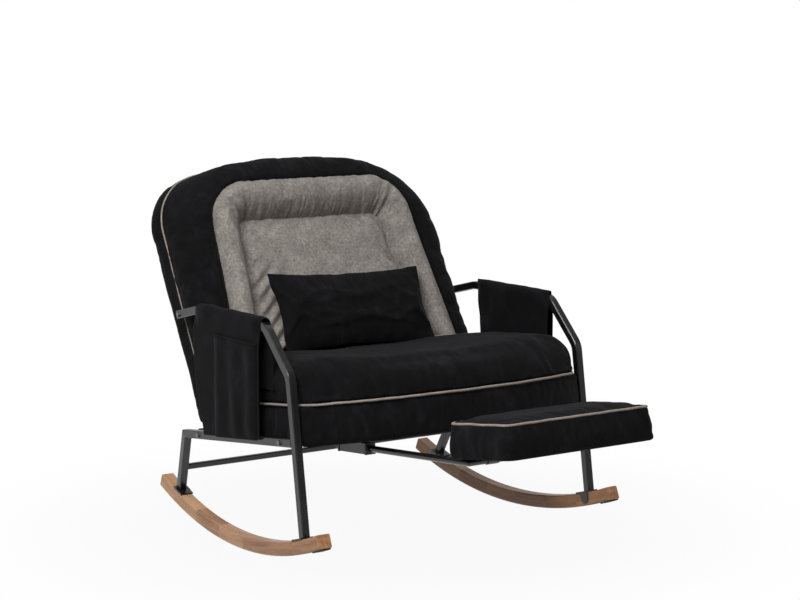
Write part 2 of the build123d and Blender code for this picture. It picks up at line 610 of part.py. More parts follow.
# Bolts from the arm ends into the back frame, with sleeves between the two tubes
with BuildPart() as arm_bolts:
    for sign in SIGNS:
        bolt_plane = Plane((sign * (FRAME_HALF_WIDTH + TUBE / 2), arm_bolt_y, arm_bolt_z), x_dir=(0, 1, 0),
                           z_dir=(sign, 0, 0))
        bolt_length = FRAME_HALF_WIDTH + TUBE / 2 - BACK_FRAME_HALF_WIDTH + BACK_TUBE / 2
        extrude(polygon(bolt_plane, BOLT_RADIUS, SHANK_SIDES), amount=-bolt_length)
        extrude(polygon(bolt_plane, BOLT_HEAD_RADIUS, HEAD_SIDES), amount=BOLT_HEAD)
write(arm_bolts, "arm_bolts")

with BuildPart() as arm_spacers:
    for sign in SIGNS:
        spacer_plane = Plane((sign * (BACK_FRAME_HALF_WIDTH + BACK_TUBE / 2), arm_bolt_y, arm_bolt_z),
                             x_dir=(0, 1, 0), z_dir=(sign, 0, 0))
        with BuildSketch(spacer_plane):
            RegularPolygon(BOLT_HEAD_RADIUS, SHANK_SIDES)
            RegularPolygon(BOLT_RADIUS + HOLE_CLEARANCE, SHANK_SIDES, mode=Mode.SUBTRACT)
        extrude(amount=FRAME_HALF_WIDTH - TUBE / 2 - BACK_FRAME_HALF_WIDTH - BACK_TUBE / 2)
write(arm_spacers, "arm_spacers")

# Back webbing across the rear of the frame's uprights
with BuildPart() as back_webbing:
    strap_depth = back_frame_depth + BACK_TUBE / 2
    strap_span = BACK_FRAME_TOP_S - BACK_FRAME_BEND - back_foot_s - BACK_FOOT_LENGTH
    with BuildSketch(back_plane.offset(-strap_depth)):
        for index in range(BACK_STRAPS):
            with Locations((0, back_foot_s + BACK_FOOT_LENGTH + strap_span * (index + 0.5) / BACK_STRAPS)):
                Rectangle(2 * BACK_FRAME_HALF_WIDTH + BACK_TUBE, STRAP_WIDTH)
    extrude(amount=-STRAP_PLATE)
write(back_webbing, "back_webbing")


def arch_outline(depth, share, spread=0.0):
    """Outline across the bolster, from its outer seam (share 0) to its inner one (1), grown by spread."""
    low_s = -BACK_DEPTH
    top = BOLSTER_TOP_S - BOLSTER_TOP_WIDTH * share + spread
    low_half, top_half = (
        BACK_HALF_WIDTH - BOLSTER_LOW_INSET - (BOLSTER_HIGH_INSET - BOLSTER_LOW_INSET) * s / BOLSTER_TOP_S
        - BOLSTER_SIDE_WIDTH * share + spread for s in (low_s, top))
    with BuildSketch(back_plane.offset(-depth)) as outline:
        Polygon((-low_half, low_s), (low_half, low_s), (top_half, top), (-top_half, top), align=None)
        fillet(outline.vertices().group_by(Axis.Y)[-1],
               BOLSTER_CORNER + (BOLSTER_INNER_CORNER - BOLSTER_CORNER) * share + max(spread, 0))
    return outline.sketch


# Back cushion: the black padded shell with rounded rims, a recess for the grey padding and room for the frame
with BuildPart() as back_cushion:
    loft([back_outline(depth, inset, -BACK_DEPTH, rear) for depth, inset, rear in (
        (BACK_DEPTH, BACK_WALL, 1), (BACK_DEPTH - BACK_WALL, 0, 1), (PIPING_DEPTH, PIPING_VALLEY, 0.5),
        (RIM_DEPTH, 0, 0), (RIM_DEPTH / 4, BACK_WALL, 0), (0, BACK_WALL * 2, 0))], ruled=True)
    split(bisect_by=seat_plane.offset(frame_top + FOOT_PLATE + BOLT_HEAD + SOFT_GAP), keep=Keep.TOP)
    extrude(arch_outline(RECESS_DEPTH, 0, SOFT_GAP), amount=BACK_DEPTH, mode=Mode.SUBTRACT)
    extrude(back_outline(strap_depth - SOFT_GAP, BACK_WALL, back_foot_s + BACK_FOOT_LENGTH, 0.5),
            amount=strap_depth - SOFT_GAP - BACK_DEPTH + BACK_REAR_WALL, mode=Mode.SUBTRACT)
    with BuildSketch(arch_start):
        Rectangle(BACK_TUBE + 2 * SOFT_GAP, BACK_TUBE + 2 * SOFT_GAP)
    sweep(path=arch_path.line, mode=Mode.SUBTRACT)
    extrude(polygon(arm_bolt_axis, BOLT_HEAD_RADIUS + SOFT_GAP, SHANK_SIDES), amount=FRAME_HALF_WIDTH,
            both=True, mode=Mode.SUBTRACT)
write(back_cushion, "back_cushion")

# Grey bolster: a padded arch, highest near its outer seam, that slopes in to the pad and ends over the seat
seat_clear = seat_plane.offset(SEAT_TOP + SEAT_CROWN + SOFT_GAP)
bolster_floor = RECESS_DEPTH - SOFT_GAP
with BuildPart() as back_bolster:
    loft([arch_outline(depth, share) for depth, share in (
        (bolster_floor, 0), (BOLSTER_SEAM_DEPTH, 0), (-BOLSTER_CREST / 2, 0.08), (-BOLSTER_CREST * 0.9, 0.22),
        (-BOLSTER_CREST, 0.36))], ruled=True)
    loft([arch_outline(depth, share) for depth, share in (
        (bolster_floor, 1), (BOLSTER_SEAM_DEPTH * 2, 0.82), (-BOLSTER_CREST * 0.7, 0.62),
        (-BOLSTER_CREST, 0.46))], ruled=True, mode=Mode.SUBTRACT)
    split(bisect_by=seat_clear, keep=Keep.TOP)
write(back_bolster, "back_bolster")

# Grey pad inside the bolster, crowned
with BuildPart() as back_pad:
    loft([arch_outline(bolster_floor - rise, 1, -SOFT_GAP - inset) for rise, inset in (
        (0, 0), (BACK_PAD_SHOULDER, BACK_PAD_EDGE), (BACK_PAD_RISE, BACK_PAD_FACE_INSET))], ruled=True)
    split(bisect_by=seat_clear, keep=Keep.TOP)
write(back_pad, "back_pad")

# Loose lumbar pillow, fattest in the middle, leaning on the pad
pillow_depth = PILLOW_DEPTH / 2 + BACK_PAD_RISE + SOFT_GAP * 2 - RECESS_DEPTH
pillow_plane = Plane(back_plane.from_local_coords((0, PILLOW_S, pillow_depth)), x_dir=(1, 0, 0),
                     z_dir=back_plane.z_dir)
with BuildPart() as lumbar_pillow:
    face_rise = PILLOW_DEPTH / 2 - PILLOW_SHOULDER
    face_run = PILLOW_FACE_INSET - PILLOW_SHOULDER_INSET
    for face in (1, -1):
        extrude(pillow_outline(0, 0), amount=face * PILLOW_SHOULDER,
                taper=degrees(atan2(PILLOW_SHOULDER_INSET, PILLOW_SHOULDER)))
        extrude(pillow_outline(face * PILLOW_SHOULDER, PILLOW_SHOULDER_INSET), amount=face * face_rise,
                taper=degrees(atan2(face_run, face_rise)))
write(lumbar_pillow, "lumbar_pillow")

# Arm pads and covers: a cover hangs over each arm with a long outer flap and a short inner one
cover_half = TUBE / 2 + ARM_PAD_SIDE + COVER_CLOTH
cover_top = ARM_HEIGHT + TUBE / 2 + ARM_PAD_TOP + COVER_CLOTH
cover_drop = ARM_HEIGHT
for side, sign in SIDES:
    rear_plane = Plane.XZ.offset(-COVER_REAR_Y)
    cover_length = COVER_REAR_Y - COVER_FRONT_Y
    middle = sign * FRAME_HALF_WIDTH
    slant = Plane((0, COVER_REAR_Y, ARM_HEIGHT - TUBE), x_dir=(1, 0, 0),
                  z_dir=(0, -(ARM_HEIGHT - RAIL_REAR_Z), COVER_REAR_SLANT))
    with BuildPart() as arm_cover:
        with BuildSketch(rear_plane):
            with Locations((middle, cover_top)):
                RectangleRounded(2 * cover_half, cover_drop, COVER_ROUND + COVER_CLOTH,
                                 align=(Align.CENTER, Align.MAX))
            with Locations((middle, cover_top - COVER_CLOTH)):
                RectangleRounded(2 * (cover_half - COVER_CLOTH), cover_drop * 2, COVER_ROUND,
                                 align=(Align.CENTER, Align.MAX), mode=Mode.SUBTRACT)
        extrude(amount=cover_length)
        split(bisect_by=seat_plane.offset(COVER_OUTER_LOW), keep=Keep.TOP)
        split(bisect_by=slant, keep=Keep.TOP)
        with BuildSketch(rear_plane):
            with Locations((middle - sign * cover_half, COVER_INNER_LOW)):
                Rectangle(cover_half * 2, COVER_INNER_LOW * 2, align=(Align.CENTER, Align.MAX))
        extrude(amount=cover_length, mode=Mode.SUBTRACT)
    write(arm_cover, f"{side}_arm_cover")

    with BuildPart() as arm_pad:
        with BuildSketch(rear_plane):
            with Locations((middle, cover_top - COVER_CLOTH)):
                RectangleRounded(2 * (cover_half - COVER_CLOTH), cover_drop, COVER_ROUND,
                                 align=(Align.CENTER, Align.MAX))
            with Locations((middle, ARM_HEIGHT - TUBE)):
                Rectangle(cover_drop, cover_drop, align=(Align.CENTER, Align.MAX), mode=Mode.SUBTRACT)
        extrude(amount=cover_length)
        with BuildLine(Plane.YZ.offset(middle)) as arm_line:
            FilletPolyline((LEG_BEND_Y, LEG_BEND_Z), (ARM_FRONT_Y, ARM_HEIGHT),
                           (ARM_REAR_Y, ARM_HEIGHT), (ARM_END_Y, ARM_END_Z), radius=BEND_RADIUS)
        with BuildSketch(Plane(arm_line.line @ 0, x_dir=(1, 0, 0), z_dir=arm_line.line % 0)):
            Rectangle(TUBE + HOLE_CLEARANCE, TUBE + HOLE_CLEARANCE)
        sweep(path=arm_line.line, mode=Mode.SUBTRACT)
        with BuildSketch(rear_plane):
            with Locations((middle, ARM_HEIGHT)):
                Rectangle(TUBE + HOLE_CLEARANCE, cover_drop, align=(Align.CENTER, Align.MAX))
        extrude(amount=cover_length, mode=Mode.SUBTRACT)
    write(arm_pad, f"{side}_arm_pad")

    # Side pocket: a panel sewn to the outer flap that hangs in soft upright folds, open at the top
    flap = middle + sign * cover_half
    with BuildPart() as side_pocket:
        for cloth, low, mode in ((0, RAIL_REAR_Z, Mode.ADD),
                                 (POCKET_CLOTH, RAIL_FRONT_Z + POCKET_BOTTOM, Mode.SUBTRACT)):
            with BuildSketch(Plane.XY.offset(low)):
                with BuildLine():
                    front = POCKET_FRONT_Y + cloth
                    fold_pitch = (POCKET_REAR_Y - cloth - front) / POCKET_FOLDS
                    for fold in range(POCKET_FOLDS):
                        first = 0 if fold == 0 else POCKET_VALLEY - cloth
                        last = 0 if fold == POCKET_FOLDS - 1 else POCKET_VALLEY - cloth
                        crest = POCKET_BULGE - cloth
                        ThreePointArc((flap + sign * first, front + fold_pitch * fold),
                                      (flap + sign * crest, front + fold_pitch * (fold + 0.5)),
                                      (flap + sign * last, front + fold_pitch * (fold + 1)))
                    Line((flap, front), (flap, POCKET_REAR_Y - cloth))
                make_face()
            extrude(amount=POCKET_MOUTH_Z - low, mode=mode)
        split(bisect_by=seat_plane.offset(COVER_OUTER_LOW + POCKET_BOTTOM), keep=Keep.TOP)
    write(side_pocket, f"{side}_side_pocket")

# Footrest frame: three tubes mitred and welded to a U, whose legs run in guides under the seat
rod_end = Plane(slide_plane.from_local_coords((ROD_HALF_SPACING, ROD_LENGTH, 0)), z_dir=-slide_plane.y_dir)
mitre = Plane(slide_plane.from_local_coords((ROD_HALF_SPACING, 0, 0)),
              z_dir=slide_plane.x_dir + slide_plane.y_dir)
with BuildPart() as footrest_frame:
    extrude(pipe_face(rod_end, ROD, ROD_WALL), amount=ROD_LENGTH + ROD)
    split(bisect_by=mitre, keep=Keep.TOP)
    bar_middle = Plane(slide_plane.origin, z_dir=slide_plane.x_dir)
    half_bar = extrude(pipe_face(bar_middle, ROD, ROD_WALL), amount=ROD_HALF_SPACING + ROD, mode=Mode.PRIVATE)
    add(split(half_bar, bisect_by=mitre, keep=Keep.BOTTOM, mode=Mode.PRIVATE))
    mirror(about=Plane.YZ)
write(footrest_frame, "footrest_frame")

# Collars on the rod ends, which stop against the guides when the footrest is pulled out
with BuildPart() as rod_stops:
    for sign in SIGNS:
        guide_rear = slide_plane.from_local_coords((sign * ROD_HALF_SPACING, GUIDE_FRONT + GUIDE_LENGTH, 0))
        collar = Plane(guide_rear, x_dir=(1, 0, 0), z_dir=slide_plane.y_dir)
        with BuildSketch(collar.offset(BUSH_HEAD + STOP_GAP)):
            RegularPolygon(ROD_STOP_RADIUS, SHANK_SIDES)
            Circle(ROD / 2 + RUNNING_CLEARANCE, mode=Mode.SUBTRACT)
        extrude(amount=ROD_STOP_LENGTH)
write(rod_stops, "rod_stops")

# Guides hung from the seat frame's battens, with their bushes
for side, sign in SIDES:
    guide_start = Plane(slide_plane.from_local_coords((sign * ROD_HALF_SPACING, GUIDE_FRONT, 0)),
                        x_dir=(1, 0, 0), z_dir=slide_plane.y_dir)
    with BuildPart() as slide_guide:
        with BuildSketch(guide_start):
            Rectangle(GUIDE, GUIDE)
        extrude(amount=GUIDE_LENGTH)
        with BuildSketch(slide_plane):
            with Locations((sign * ROD_HALF_SPACING, GUIDE_FRONT + GUIDE_LENGTH / 2)):
                Rectangle(GUIDE, GUIDE_FLANGE_LENGTH)
                Rectangle(GUIDE - 2 * GUIDE_WEB, GUIDE_FLANGE_LENGTH, mode=Mode.SUBTRACT)
        extrude(amount=GUIDE * 3)
        split(bisect_by=seat_plane.offset(SEAT_BOTTOM), keep=Keep.BOTTOM)
        with BuildSketch(seat_plane.offset(SEAT_BOTTOM)):
            with Locations((sign * ROD_HALF_SPACING, flange_v)):
                Rectangle(GUIDE_FLANGE, GUIDE_FLANGE_LENGTH)
        extrude(amount=-GUIDE_WEB)
        extrude(disc(guide_start, GUIDE_BORE / 2), amount=GUIDE_LENGTH, mode=Mode.SUBTRACT)
    write(slide_guide, f"{side}_slide_guide")

    with BuildPart() as guide_bushes:
        for end_plane, outward in ((guide_start, -1), (guide_start.offset(GUIDE_LENGTH), 1)):
            with BuildSketch(end_plane):
                Rectangle(BUSH_HEAD_WIDTH, BUSH_HEAD_WIDTH)
                Circle(ROD / 2 + RUNNING_CLEARANCE, mode=Mode.SUBTRACT)
            extrude(amount=outward * BUSH_HEAD)
    write(guide_bushes, f"{side}_guide_bushes")

# Footrest pad with its board, and the clips that turn on the front bar
clip_bore = ROD / 2 + RUNNING_CLEARANCE
with BuildPart() as footrest_pad:
    pad_seam = PAD_OFFSET + PAD_BOXING
    extrude(pad_outline(PAD_OFFSET, 0), amount=PAD_BOXING)
    loft([pad_outline(pad_seam, 0), pad_outline(pad_seam + PAD_SHOULDER_RISE, PAD_SHOULDER_INSET),
          pad_outline(pad_seam + PAD_CROWN, PAD_FACE_INSET)], ruled=True)
    extrude(pad_outline(PAD_OFFSET, BOARD_INSET - SOFT_GAP), amount=BOARD_PLATE + SOFT_GAP,
            mode=Mode.SUBTRACT)
write(footrest_pad, "footrest_pad")

with BuildPart() as footrest_board:
    extrude(pad_outline(PAD_OFFSET, BOARD_INSET), amount=BOARD_PLATE)
write(footrest_board, "footrest_board")

for side, sign in SIDES:
    clip_side = Plane(pad_plane.from_local_coords((sign * CLIP_HALF_SPACING - CLIP_WIDTH / 2, 0, 0)),
                      x_dir=pad_plane.y_dir, z_dir=(1, 0, 0))
    with BuildPart() as hinge_clip:
        with BuildSketch(clip_side):
            Circle(clip_bore + CLIP_PLATE)
            Rectangle(2 * (clip_bore + CLIP_PLATE), PAD_OFFSET, align=(Align.CENTER, Align.MIN))
            with Locations((0, PAD_OFFSET)):
                Rectangle(2 * (clip_bore + CLIP_PLATE + CLIP_FLANGE), CLIP_PLATE,
                          align=(Align.CENTER, Align.MAX))
            Circle(clip_bore, mode=Mode.SUBTRACT)
            Rectangle(2 * clip_bore, PAD_OFFSET, align=(Align.CENTER, Align.MIN), mode=Mode.SUBTRACT)
        extrude(amount=CLIP_WIDTH)
    write(hinge_clip, f"{side}_hinge_clip")
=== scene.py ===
"""Looks of the rocking armchair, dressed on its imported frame. Every size is in metres."""
import json
import math

import bmesh
import bpy
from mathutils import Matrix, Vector, noise


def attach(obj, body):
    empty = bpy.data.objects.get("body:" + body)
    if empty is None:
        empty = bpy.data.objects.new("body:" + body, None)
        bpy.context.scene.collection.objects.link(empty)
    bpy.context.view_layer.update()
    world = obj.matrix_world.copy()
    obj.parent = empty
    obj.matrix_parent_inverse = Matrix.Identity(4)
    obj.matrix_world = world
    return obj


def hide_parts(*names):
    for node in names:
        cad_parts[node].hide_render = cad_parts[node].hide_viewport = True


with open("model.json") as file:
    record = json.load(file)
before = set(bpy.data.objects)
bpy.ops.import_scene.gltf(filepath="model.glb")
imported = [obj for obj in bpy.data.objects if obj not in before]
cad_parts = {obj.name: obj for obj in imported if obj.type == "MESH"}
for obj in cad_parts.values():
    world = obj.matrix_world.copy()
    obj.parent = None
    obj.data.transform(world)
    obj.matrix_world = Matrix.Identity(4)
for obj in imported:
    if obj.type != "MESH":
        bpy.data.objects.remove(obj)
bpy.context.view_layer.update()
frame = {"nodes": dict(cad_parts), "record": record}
scene = bpy.context.scene
SIDES = (("left", 1), ("right", -1))

# Without a seed, noise_vector differs from run to run
WAVER_SEED = 1
noise.seed_set(WAVER_SEED)

# Local frames of the seat, the leaning back and the footrest pad
SEAT_ORIGIN = Vector((0, -0.2763, 0.299))
SEAT_TILT = math.radians(6.745)
BACK_ORIGIN = Vector((0, 0.064, 0.300))
BACK_LEAN = math.radians(28.3)
BAR = Vector((0, -0.610, 0.282))
PAD_TILT = math.radians(8)


def tilted(origin, tilt, x, along, over):
    """A place measured across, along and square to a plane that sinks towards the back by tilt."""
    return origin + Vector((x, along * math.cos(tilt) + over * math.sin(tilt),
                            over * math.cos(tilt) - along * math.sin(tilt)))


def untilted(origin, tilt, point):
    """The opposite of tilted: across, along and square to the plane."""
    away = point - origin
    return (away.x, away.y * math.cos(tilt) - away.z * math.sin(tilt),
            away.y * math.sin(tilt) + away.z * math.cos(tilt))


def seat_point(x, along, over):
    """A place on the chair measured from the seat rails."""
    return tilted(SEAT_ORIGIN, SEAT_TILT, x, along, over)


def seat_place(point):
    """The opposite of seat_point: across, along and over the rails."""
    return untilted(SEAT_ORIGIN, SEAT_TILT, point)


def pad_point(x, along, over):
    """A place measured from the footrest's front bar."""
    return tilted(BAR, PAD_TILT, x, along, over)


def pad_place(point):
    """The opposite of pad_point: across, along and over the bar."""
    return untilted(BAR, PAD_TILT, point)


def back_point(x, up, out):
    """A place measured up the leaning back and out of its front."""
    return BACK_ORIGIN + Vector((x, up * math.sin(BACK_LEAN) - out * math.cos(BACK_LEAN),
                                 up * math.cos(BACK_LEAN) + out * math.sin(BACK_LEAN)))


def back_place(point):
    """The opposite of back_point: across, up the back and out of it."""
    away = point - BACK_ORIGIN
    return (away.x, away.y * math.sin(BACK_LEAN) + away.z * math.cos(BACK_LEAN),
            away.z * math.sin(BACK_LEAN) - away.y * math.cos(BACK_LEAN))


def spaced(start, end, count):
    """Numbers from start to end in even steps."""
    return [start + (end - start) * index / count for index in range(count + 1)]


def ease(start, end, value):
    """Smooth step from 0 at start to 1 at end."""
    share = min(max((value - start) / (end - start), 0), 1)
    return share * share * (3 - 2 * share)


# Materials

class Finish:
    """A material under construction, with short ways to add and join nodes."""

    def __init__(self, name, **sockets):
        self.material = bpy.data.materials.new(name)
        self.material.use_nodes = True
        self.nodes = self.material.node_tree.nodes
        self.links = self.material.node_tree.links
        self.shader = self.nodes["Principled BSDF"]
        self.place = self.add("ShaderNodeTexCoord").outputs["Object"]
        for socket, value in sockets.items():
            self.shader.inputs[socket.replace("_", " ")].default_value = value

    def add(self, kind, sockets=None, **settings):
        """A new node with its settings, and with values on some of its sockets."""
        node = self.nodes.new(kind)
        for key, value in settings.items():
            setattr(node, key, value)
        for socket, value in (sockets or {}).items():
            node.inputs[socket].default_value = value
        return node

    def join(self, output, socket):
        self.links.new(output, socket)

    def stretched(self, scale):
        """Object coordinates stretched by scale."""
        mapping = self.add("ShaderNodeMapping", {"Scale": scale})
        self.join(self.place, mapping.inputs["Vector"])
        return mapping.outputs["Vector"]

    def noise(self, scale, detail=2.0, rough=0.5, vector=None):
        node = self.add("ShaderNodeTexNoise", {"Scale": scale, "Detail": detail, "Roughness": rough})
        self.join(vector or self.place, node.inputs["Vector"])
        return node.outputs["Fac"]

    def math(self, operation, first, second=0.0):
        node = self.add("ShaderNodeMath", operation=operation)
        for socket, value in zip(node.inputs, (first, second)):
            if isinstance(value, (int, float)):
                socket.default_value = value
            else:
                self.join(value, socket)
        return node.outputs["Value"]

    def ramp(self, factor, *stops):
        """Colours along a factor, each stop a place and an RGB colour."""
        node = self.add("ShaderNodeValToRGB")
        elements = node.color_ramp.elements
        while len(elements) < len(stops):
            elements.new(0.5)
        for element, (place, colour) in zip(elements, stops):
            element.position = place
            element.color = (*colour, 1)
        self.join(factor, node.inputs["Fac"])
        return node.outputs["Color"]

    def shaded(self, first, second):
        """A colour darkened by another."""
        node = self.add("ShaderNodeMix", {"Factor": 1.0}, data_type="RGBA", blend_type="MULTIPLY")
        self.join(first, node.inputs["A"])
        self.join(second, node.inputs["B"])
        return node.outputs["Result"]

    def bump(self, height, strength, distance):
        node = self.add("ShaderNodeBump", {"Strength": strength, "Distance": distance})
        self.join(height, node.inputs["Height"])
        self.join(node.outputs["Normal"], self.shader.inputs["Normal"])

    def colour(self, output):
        self.join(output, self.shader.inputs["Base Color"])

    def roughness(self, factor, low, high):
        node = self.add("ShaderNodeMapRange", {"To Min": low, "To Max": high})
        self.join(factor, node.inputs["Value"])
        self.join(node.outputs["Result"], self.shader.inputs["Roughness"])


def black_pile():
    """Black short-pile cover cloth, with nap that turns lighter and darker in soft patches."""
    finish = Finish("black_pile", Sheen_Weight=0.055, Sheen_Roughness=0.4, Sheen_Tint=(0.62, 0.62, 0.68, 1),
                    Specular_IOR_Level=0.12)
    tuft = finish.noise(620, 3, 0.6)
    streak = finish.noise(60, 3, 0.55, finish.stretched((1.0, 0.45, 0.45)))
    nap = finish.noise(9, 2, 0.5)
    blotch = finish.math("MULTIPLY", streak, nap)
    shade = finish.math("ADD", blotch, finish.math("MULTIPLY", tuft, 0.25))
    finish.colour(finish.ramp(shade, (0.22, (0.0026, 0.0026, 0.0031)), (0.42, (0.0052, 0.0052, 0.0060)),
                              (0.62, (0.0120, 0.0120, 0.0136))))
    finish.roughness(tuft, 0.82, 1.0)
    height = finish.math("ADD", finish.math("MULTIPLY", streak, 0.7), tuft)
    finish.bump(height, 0.45, 0.0016)
    return finish.material


def grey_chenille():
    """Grey-beige chenille, speckled by light and dark yarns."""
    finish = Finish("grey_chenille", Sheen_Weight=0.08, Sheen_Roughness=0.5, Sheen_Tint=(0.9, 0.87, 0.82, 1),
                    Specular_IOR_Level=0.15)
    yarn = finish.noise(620, 3, 0.65)
    slub = finish.noise(150, 2, 0.5)
    patch = finish.noise(22, 3, 0.6)
    speckle = finish.math("ADD", finish.math("MULTIPLY", yarn, 0.55), finish.math("MULTIPLY", slub, 0.45))
    yarns = finish.ramp(speckle, (0.34, (0.160, 0.146, 0.132)), (0.46, (0.252, 0.231, 0.209)),
                        (0.56, (0.330, 0.304, 0.277)), (0.68, (0.428, 0.398, 0.366)))
    cloud = finish.ramp(patch, (0.34, (0.72, 0.715, 0.71)), (0.66, (1.0, 1.0, 1.0)))
    finish.colour(finish.shaded(yarns, cloud))
    finish.roughness(speckle, 0.80, 0.98)
    finish.bump(speckle, 0.45, 0.0018)
    return finish.material


def beige_piping():
    """Beige-grey piping cloth, speckled by its yarns."""
    finish = Finish("beige_piping", Sheen_Weight=0.1, Specular_IOR_Level=0.25)
    yarn = finish.noise(420, 3, 0.6)
    patch = finish.noise(28, 2, 0.5)
    yarns = finish.ramp(yarn, (0.30, (0.190, 0.160, 0.132)), (0.50, (0.335, 0.293, 0.249)),
                        (0.70, (0.450, 0.404, 0.353)))
    worn = finish.ramp(patch, (0.3, (0.82, 0.80, 0.78)), (0.7, (1.0, 1.0, 1.0)))
    finish.colour(finish.shaded(yarns, worn))
    finish.roughness(yarn, 0.72, 0.95)
    finish.bump(yarn, 0.4, 0.0010)
    return finish.material


def frame_black():
    """Satin black powder coat with a faint orange peel."""
    finish = Finish("frame_black", Coat_Weight=0.25, Coat_Roughness=0.14, Specular_IOR_Level=0.42)
    peel = finish.noise(1400, 2, 0.5)
    dust = finish.noise(35, 4, 0.6)
    finish.colour(finish.ramp(dust, (0.35, (0.004, 0.004, 0.0045)), (0.70, (0.009, 0.009, 0.0095))))
    finish.roughness(dust, 0.24, 0.36)
    finish.bump(peel, 0.12, 0.0004)
    return finish.material


ROCKER_RADIUS = 1.080
BLOCKS_PER_METRE = 8.2
BLOCK_SHIFT = 0.043


def rocker_wood():
    """Oiled hardwood glued up from short blocks, with grain that follows the rocker's arc."""
    finish = Finish("rocker_wood", Coat_Weight=0.30, Coat_Roughness=0.12, Specular_IOR_Level=0.25)
    split = finish.add("ShaderNodeSeparateXYZ")
    finish.join(finish.place, split.inputs["Vector"])
    rise = finish.math("SUBTRACT", ROCKER_RADIUS, split.outputs["Z"])
    turn = finish.math("ARCTAN2", split.outputs["Y"], rise)
    along = finish.math("MULTIPLY", turn, ROCKER_RADIUS)
    reach = finish.math("SQRT", finish.math("ADD", finish.math("POWER", split.outputs["Y"], 2.0),
                                            finish.math("POWER", rise, 2.0)))
    shifted = finish.math("ADD", along, BLOCK_SHIFT)
    block = finish.math("FLOOR", finish.math("MULTIPLY", shifted, BLOCKS_PER_METRE))
    tone = finish.add("ShaderNodeTexWhiteNoise", noise_dimensions="1D")
    finish.join(block, tone.inputs["W"])
    spot = finish.add("ShaderNodeCombineXYZ")
    finish.join(finish.math("MULTIPLY", along, 5.0), spot.inputs["X"])
    finish.join(finish.math("MULTIPLY", reach, 60.0), spot.inputs["Y"])
    finish.join(finish.math("ADD", finish.math("MULTIPLY", split.outputs["X"], 60.0),
                            finish.math("MULTIPLY", block, 7.3)), spot.inputs["Z"])
    rings = finish.noise(1.6, 4, 0.55, spot.outputs["Vector"])
    fibre = finish.noise(9.0, 3, 0.6, spot.outputs["Vector"])
    shade = finish.math("ADD", finish.math("MULTIPLY", rings, 0.55), finish.math("MULTIPLY", fibre, 0.25))
    shade = finish.math("ADD", shade, finish.math("MULTIPLY", tone.outputs["Value"], 0.24))
    finish.colour(finish.ramp(shade, (0.30, (0.235, 0.094, 0.036)), (0.46, (0.410, 0.196, 0.090)),
                              (0.62, (0.560, 0.306, 0.160)), (0.80, (0.680, 0.415, 0.240))))
    finish.roughness(fibre, 0.34, 0.52)
    finish.bump(fibre, 0.18, 0.0006)
    return finish.material


def panel_wood():
    """Dark-stained plywood of the hidden frames."""
    finish = Finish("panel_wood", Specular_IOR_Level=0.3)
    grain = finish.noise(6, 4, 0.6, finish.stretched((1.0, 9.0, 9.0)))
    finish.colour(finish.ramp(grain, (0.3, (0.022, 0.016, 0.012)), (0.7, (0.045, 0.033, 0.024))))
    finish.roughness(grain, 0.55, 0.75)
    finish.bump(grain, 0.2, 0.0006)
    return finish.material


def plain_finish(name, dark, light, scale, rough, bump, metal=0.0):
    """A plain finish whose colour, gloss and surface vary a little over the piece."""
    finish = Finish(name, Metallic=metal)
    grain = finish.noise(scale, 4, 0.6)
    finish.colour(finish.ramp(grain, (0.3, dark), (0.7, light)))
    finish.roughness(grain, *rough)
    finish.bump(grain, bump, 0.0005)
    return finish.material


BLACK_PILE = black_pile()
GREY_CHENILLE = grey_chenille()
BEIGE_PIPING = beige_piping()
NODE_FINISHES = {
    "frame_steel": frame_black(),
    "rocker_wood": rocker_wood(),
    "panel_wood": panel_wood(),
    "webbing": plain_finish("webbing_cloth", (0.02, 0.02, 0.021), (0.05, 0.05, 0.052),
                            scale=500, rough=(0.8, 0.95), bump=0.3),
    "zinc_steel": plain_finish("zinc_steel", (0.13, 0.13, 0.135), (0.20, 0.20, 0.205),
                               scale=300, rough=(0.28, 0.42), bump=0.08, metal=1.0),
    "black_plastic": plain_finish("black_plastic", (0.014, 0.014, 0.015), (0.024, 0.024, 0.025),
                                  scale=700, rough=(0.42, 0.58), bump=0.15),
    "black_rubber": plain_finish("black_rubber", (0.012, 0.012, 0.012), (0.022, 0.022, 0.022),
                                 scale=400, rough=(0.65, 0.85), bump=0.2),
    "black_fabric": BLACK_PILE,
    "grey_fabric": GREY_CHENILLE,
}
for subpart in frame["record"]["subparts"]:
    node_mesh = frame["nodes"][subpart["node"]].data
    node_mesh.materials.clear()
    node_mesh.materials.append(NODE_FINISHES[subpart["material_slot"]])


# Ways to make meshes

NODE_MERGE = 0.00005
CORD_ROUNDNESS = 3


def piece(name, bm, material, body, slot, *nodes):
    """An object from a finished bmesh, smooth, riding on a body and standing for CAD nodes."""
    mesh = bpy.data.meshes.new(name)
    bm.to_mesh(mesh)
    bm.free()
    obj = bpy.data.objects.new(name, mesh)
    scene.collection.objects.link(obj)
    dress(obj, material)
    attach(obj, body)
    if nodes:
        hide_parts(*nodes)
    return obj


def dress(obj, material):
    """Give a mesh one material and smooth shading."""
    obj.data.materials.clear()
    obj.data.materials.append(material)
    obj.data.polygons.foreach_set("use_smooth", [True] * len(obj.data.polygons))
    obj.data.update()


def loft(rings):
    """A closed skin through rings of equal count, with its two ends filled."""
    bm = bmesh.new()
    before = None
    for ring in rings:
        verts = bmesh.ops.create_circle(bm, segments=len(ring), radius=1)["verts"]
        for vert, place in zip(verts, ring):
            vert.co = place
        edges = list({edge for vert in verts for edge in vert.link_edges})
        if before:
            bmesh.ops.bridge_loops(bm, edges=before + edges)
        before = edges
    bmesh.ops.holes_fill(bm, edges=bm.edges, sides=0)
    bmesh.ops.recalc_face_normals(bm, faces=bm.faces)
    return bm


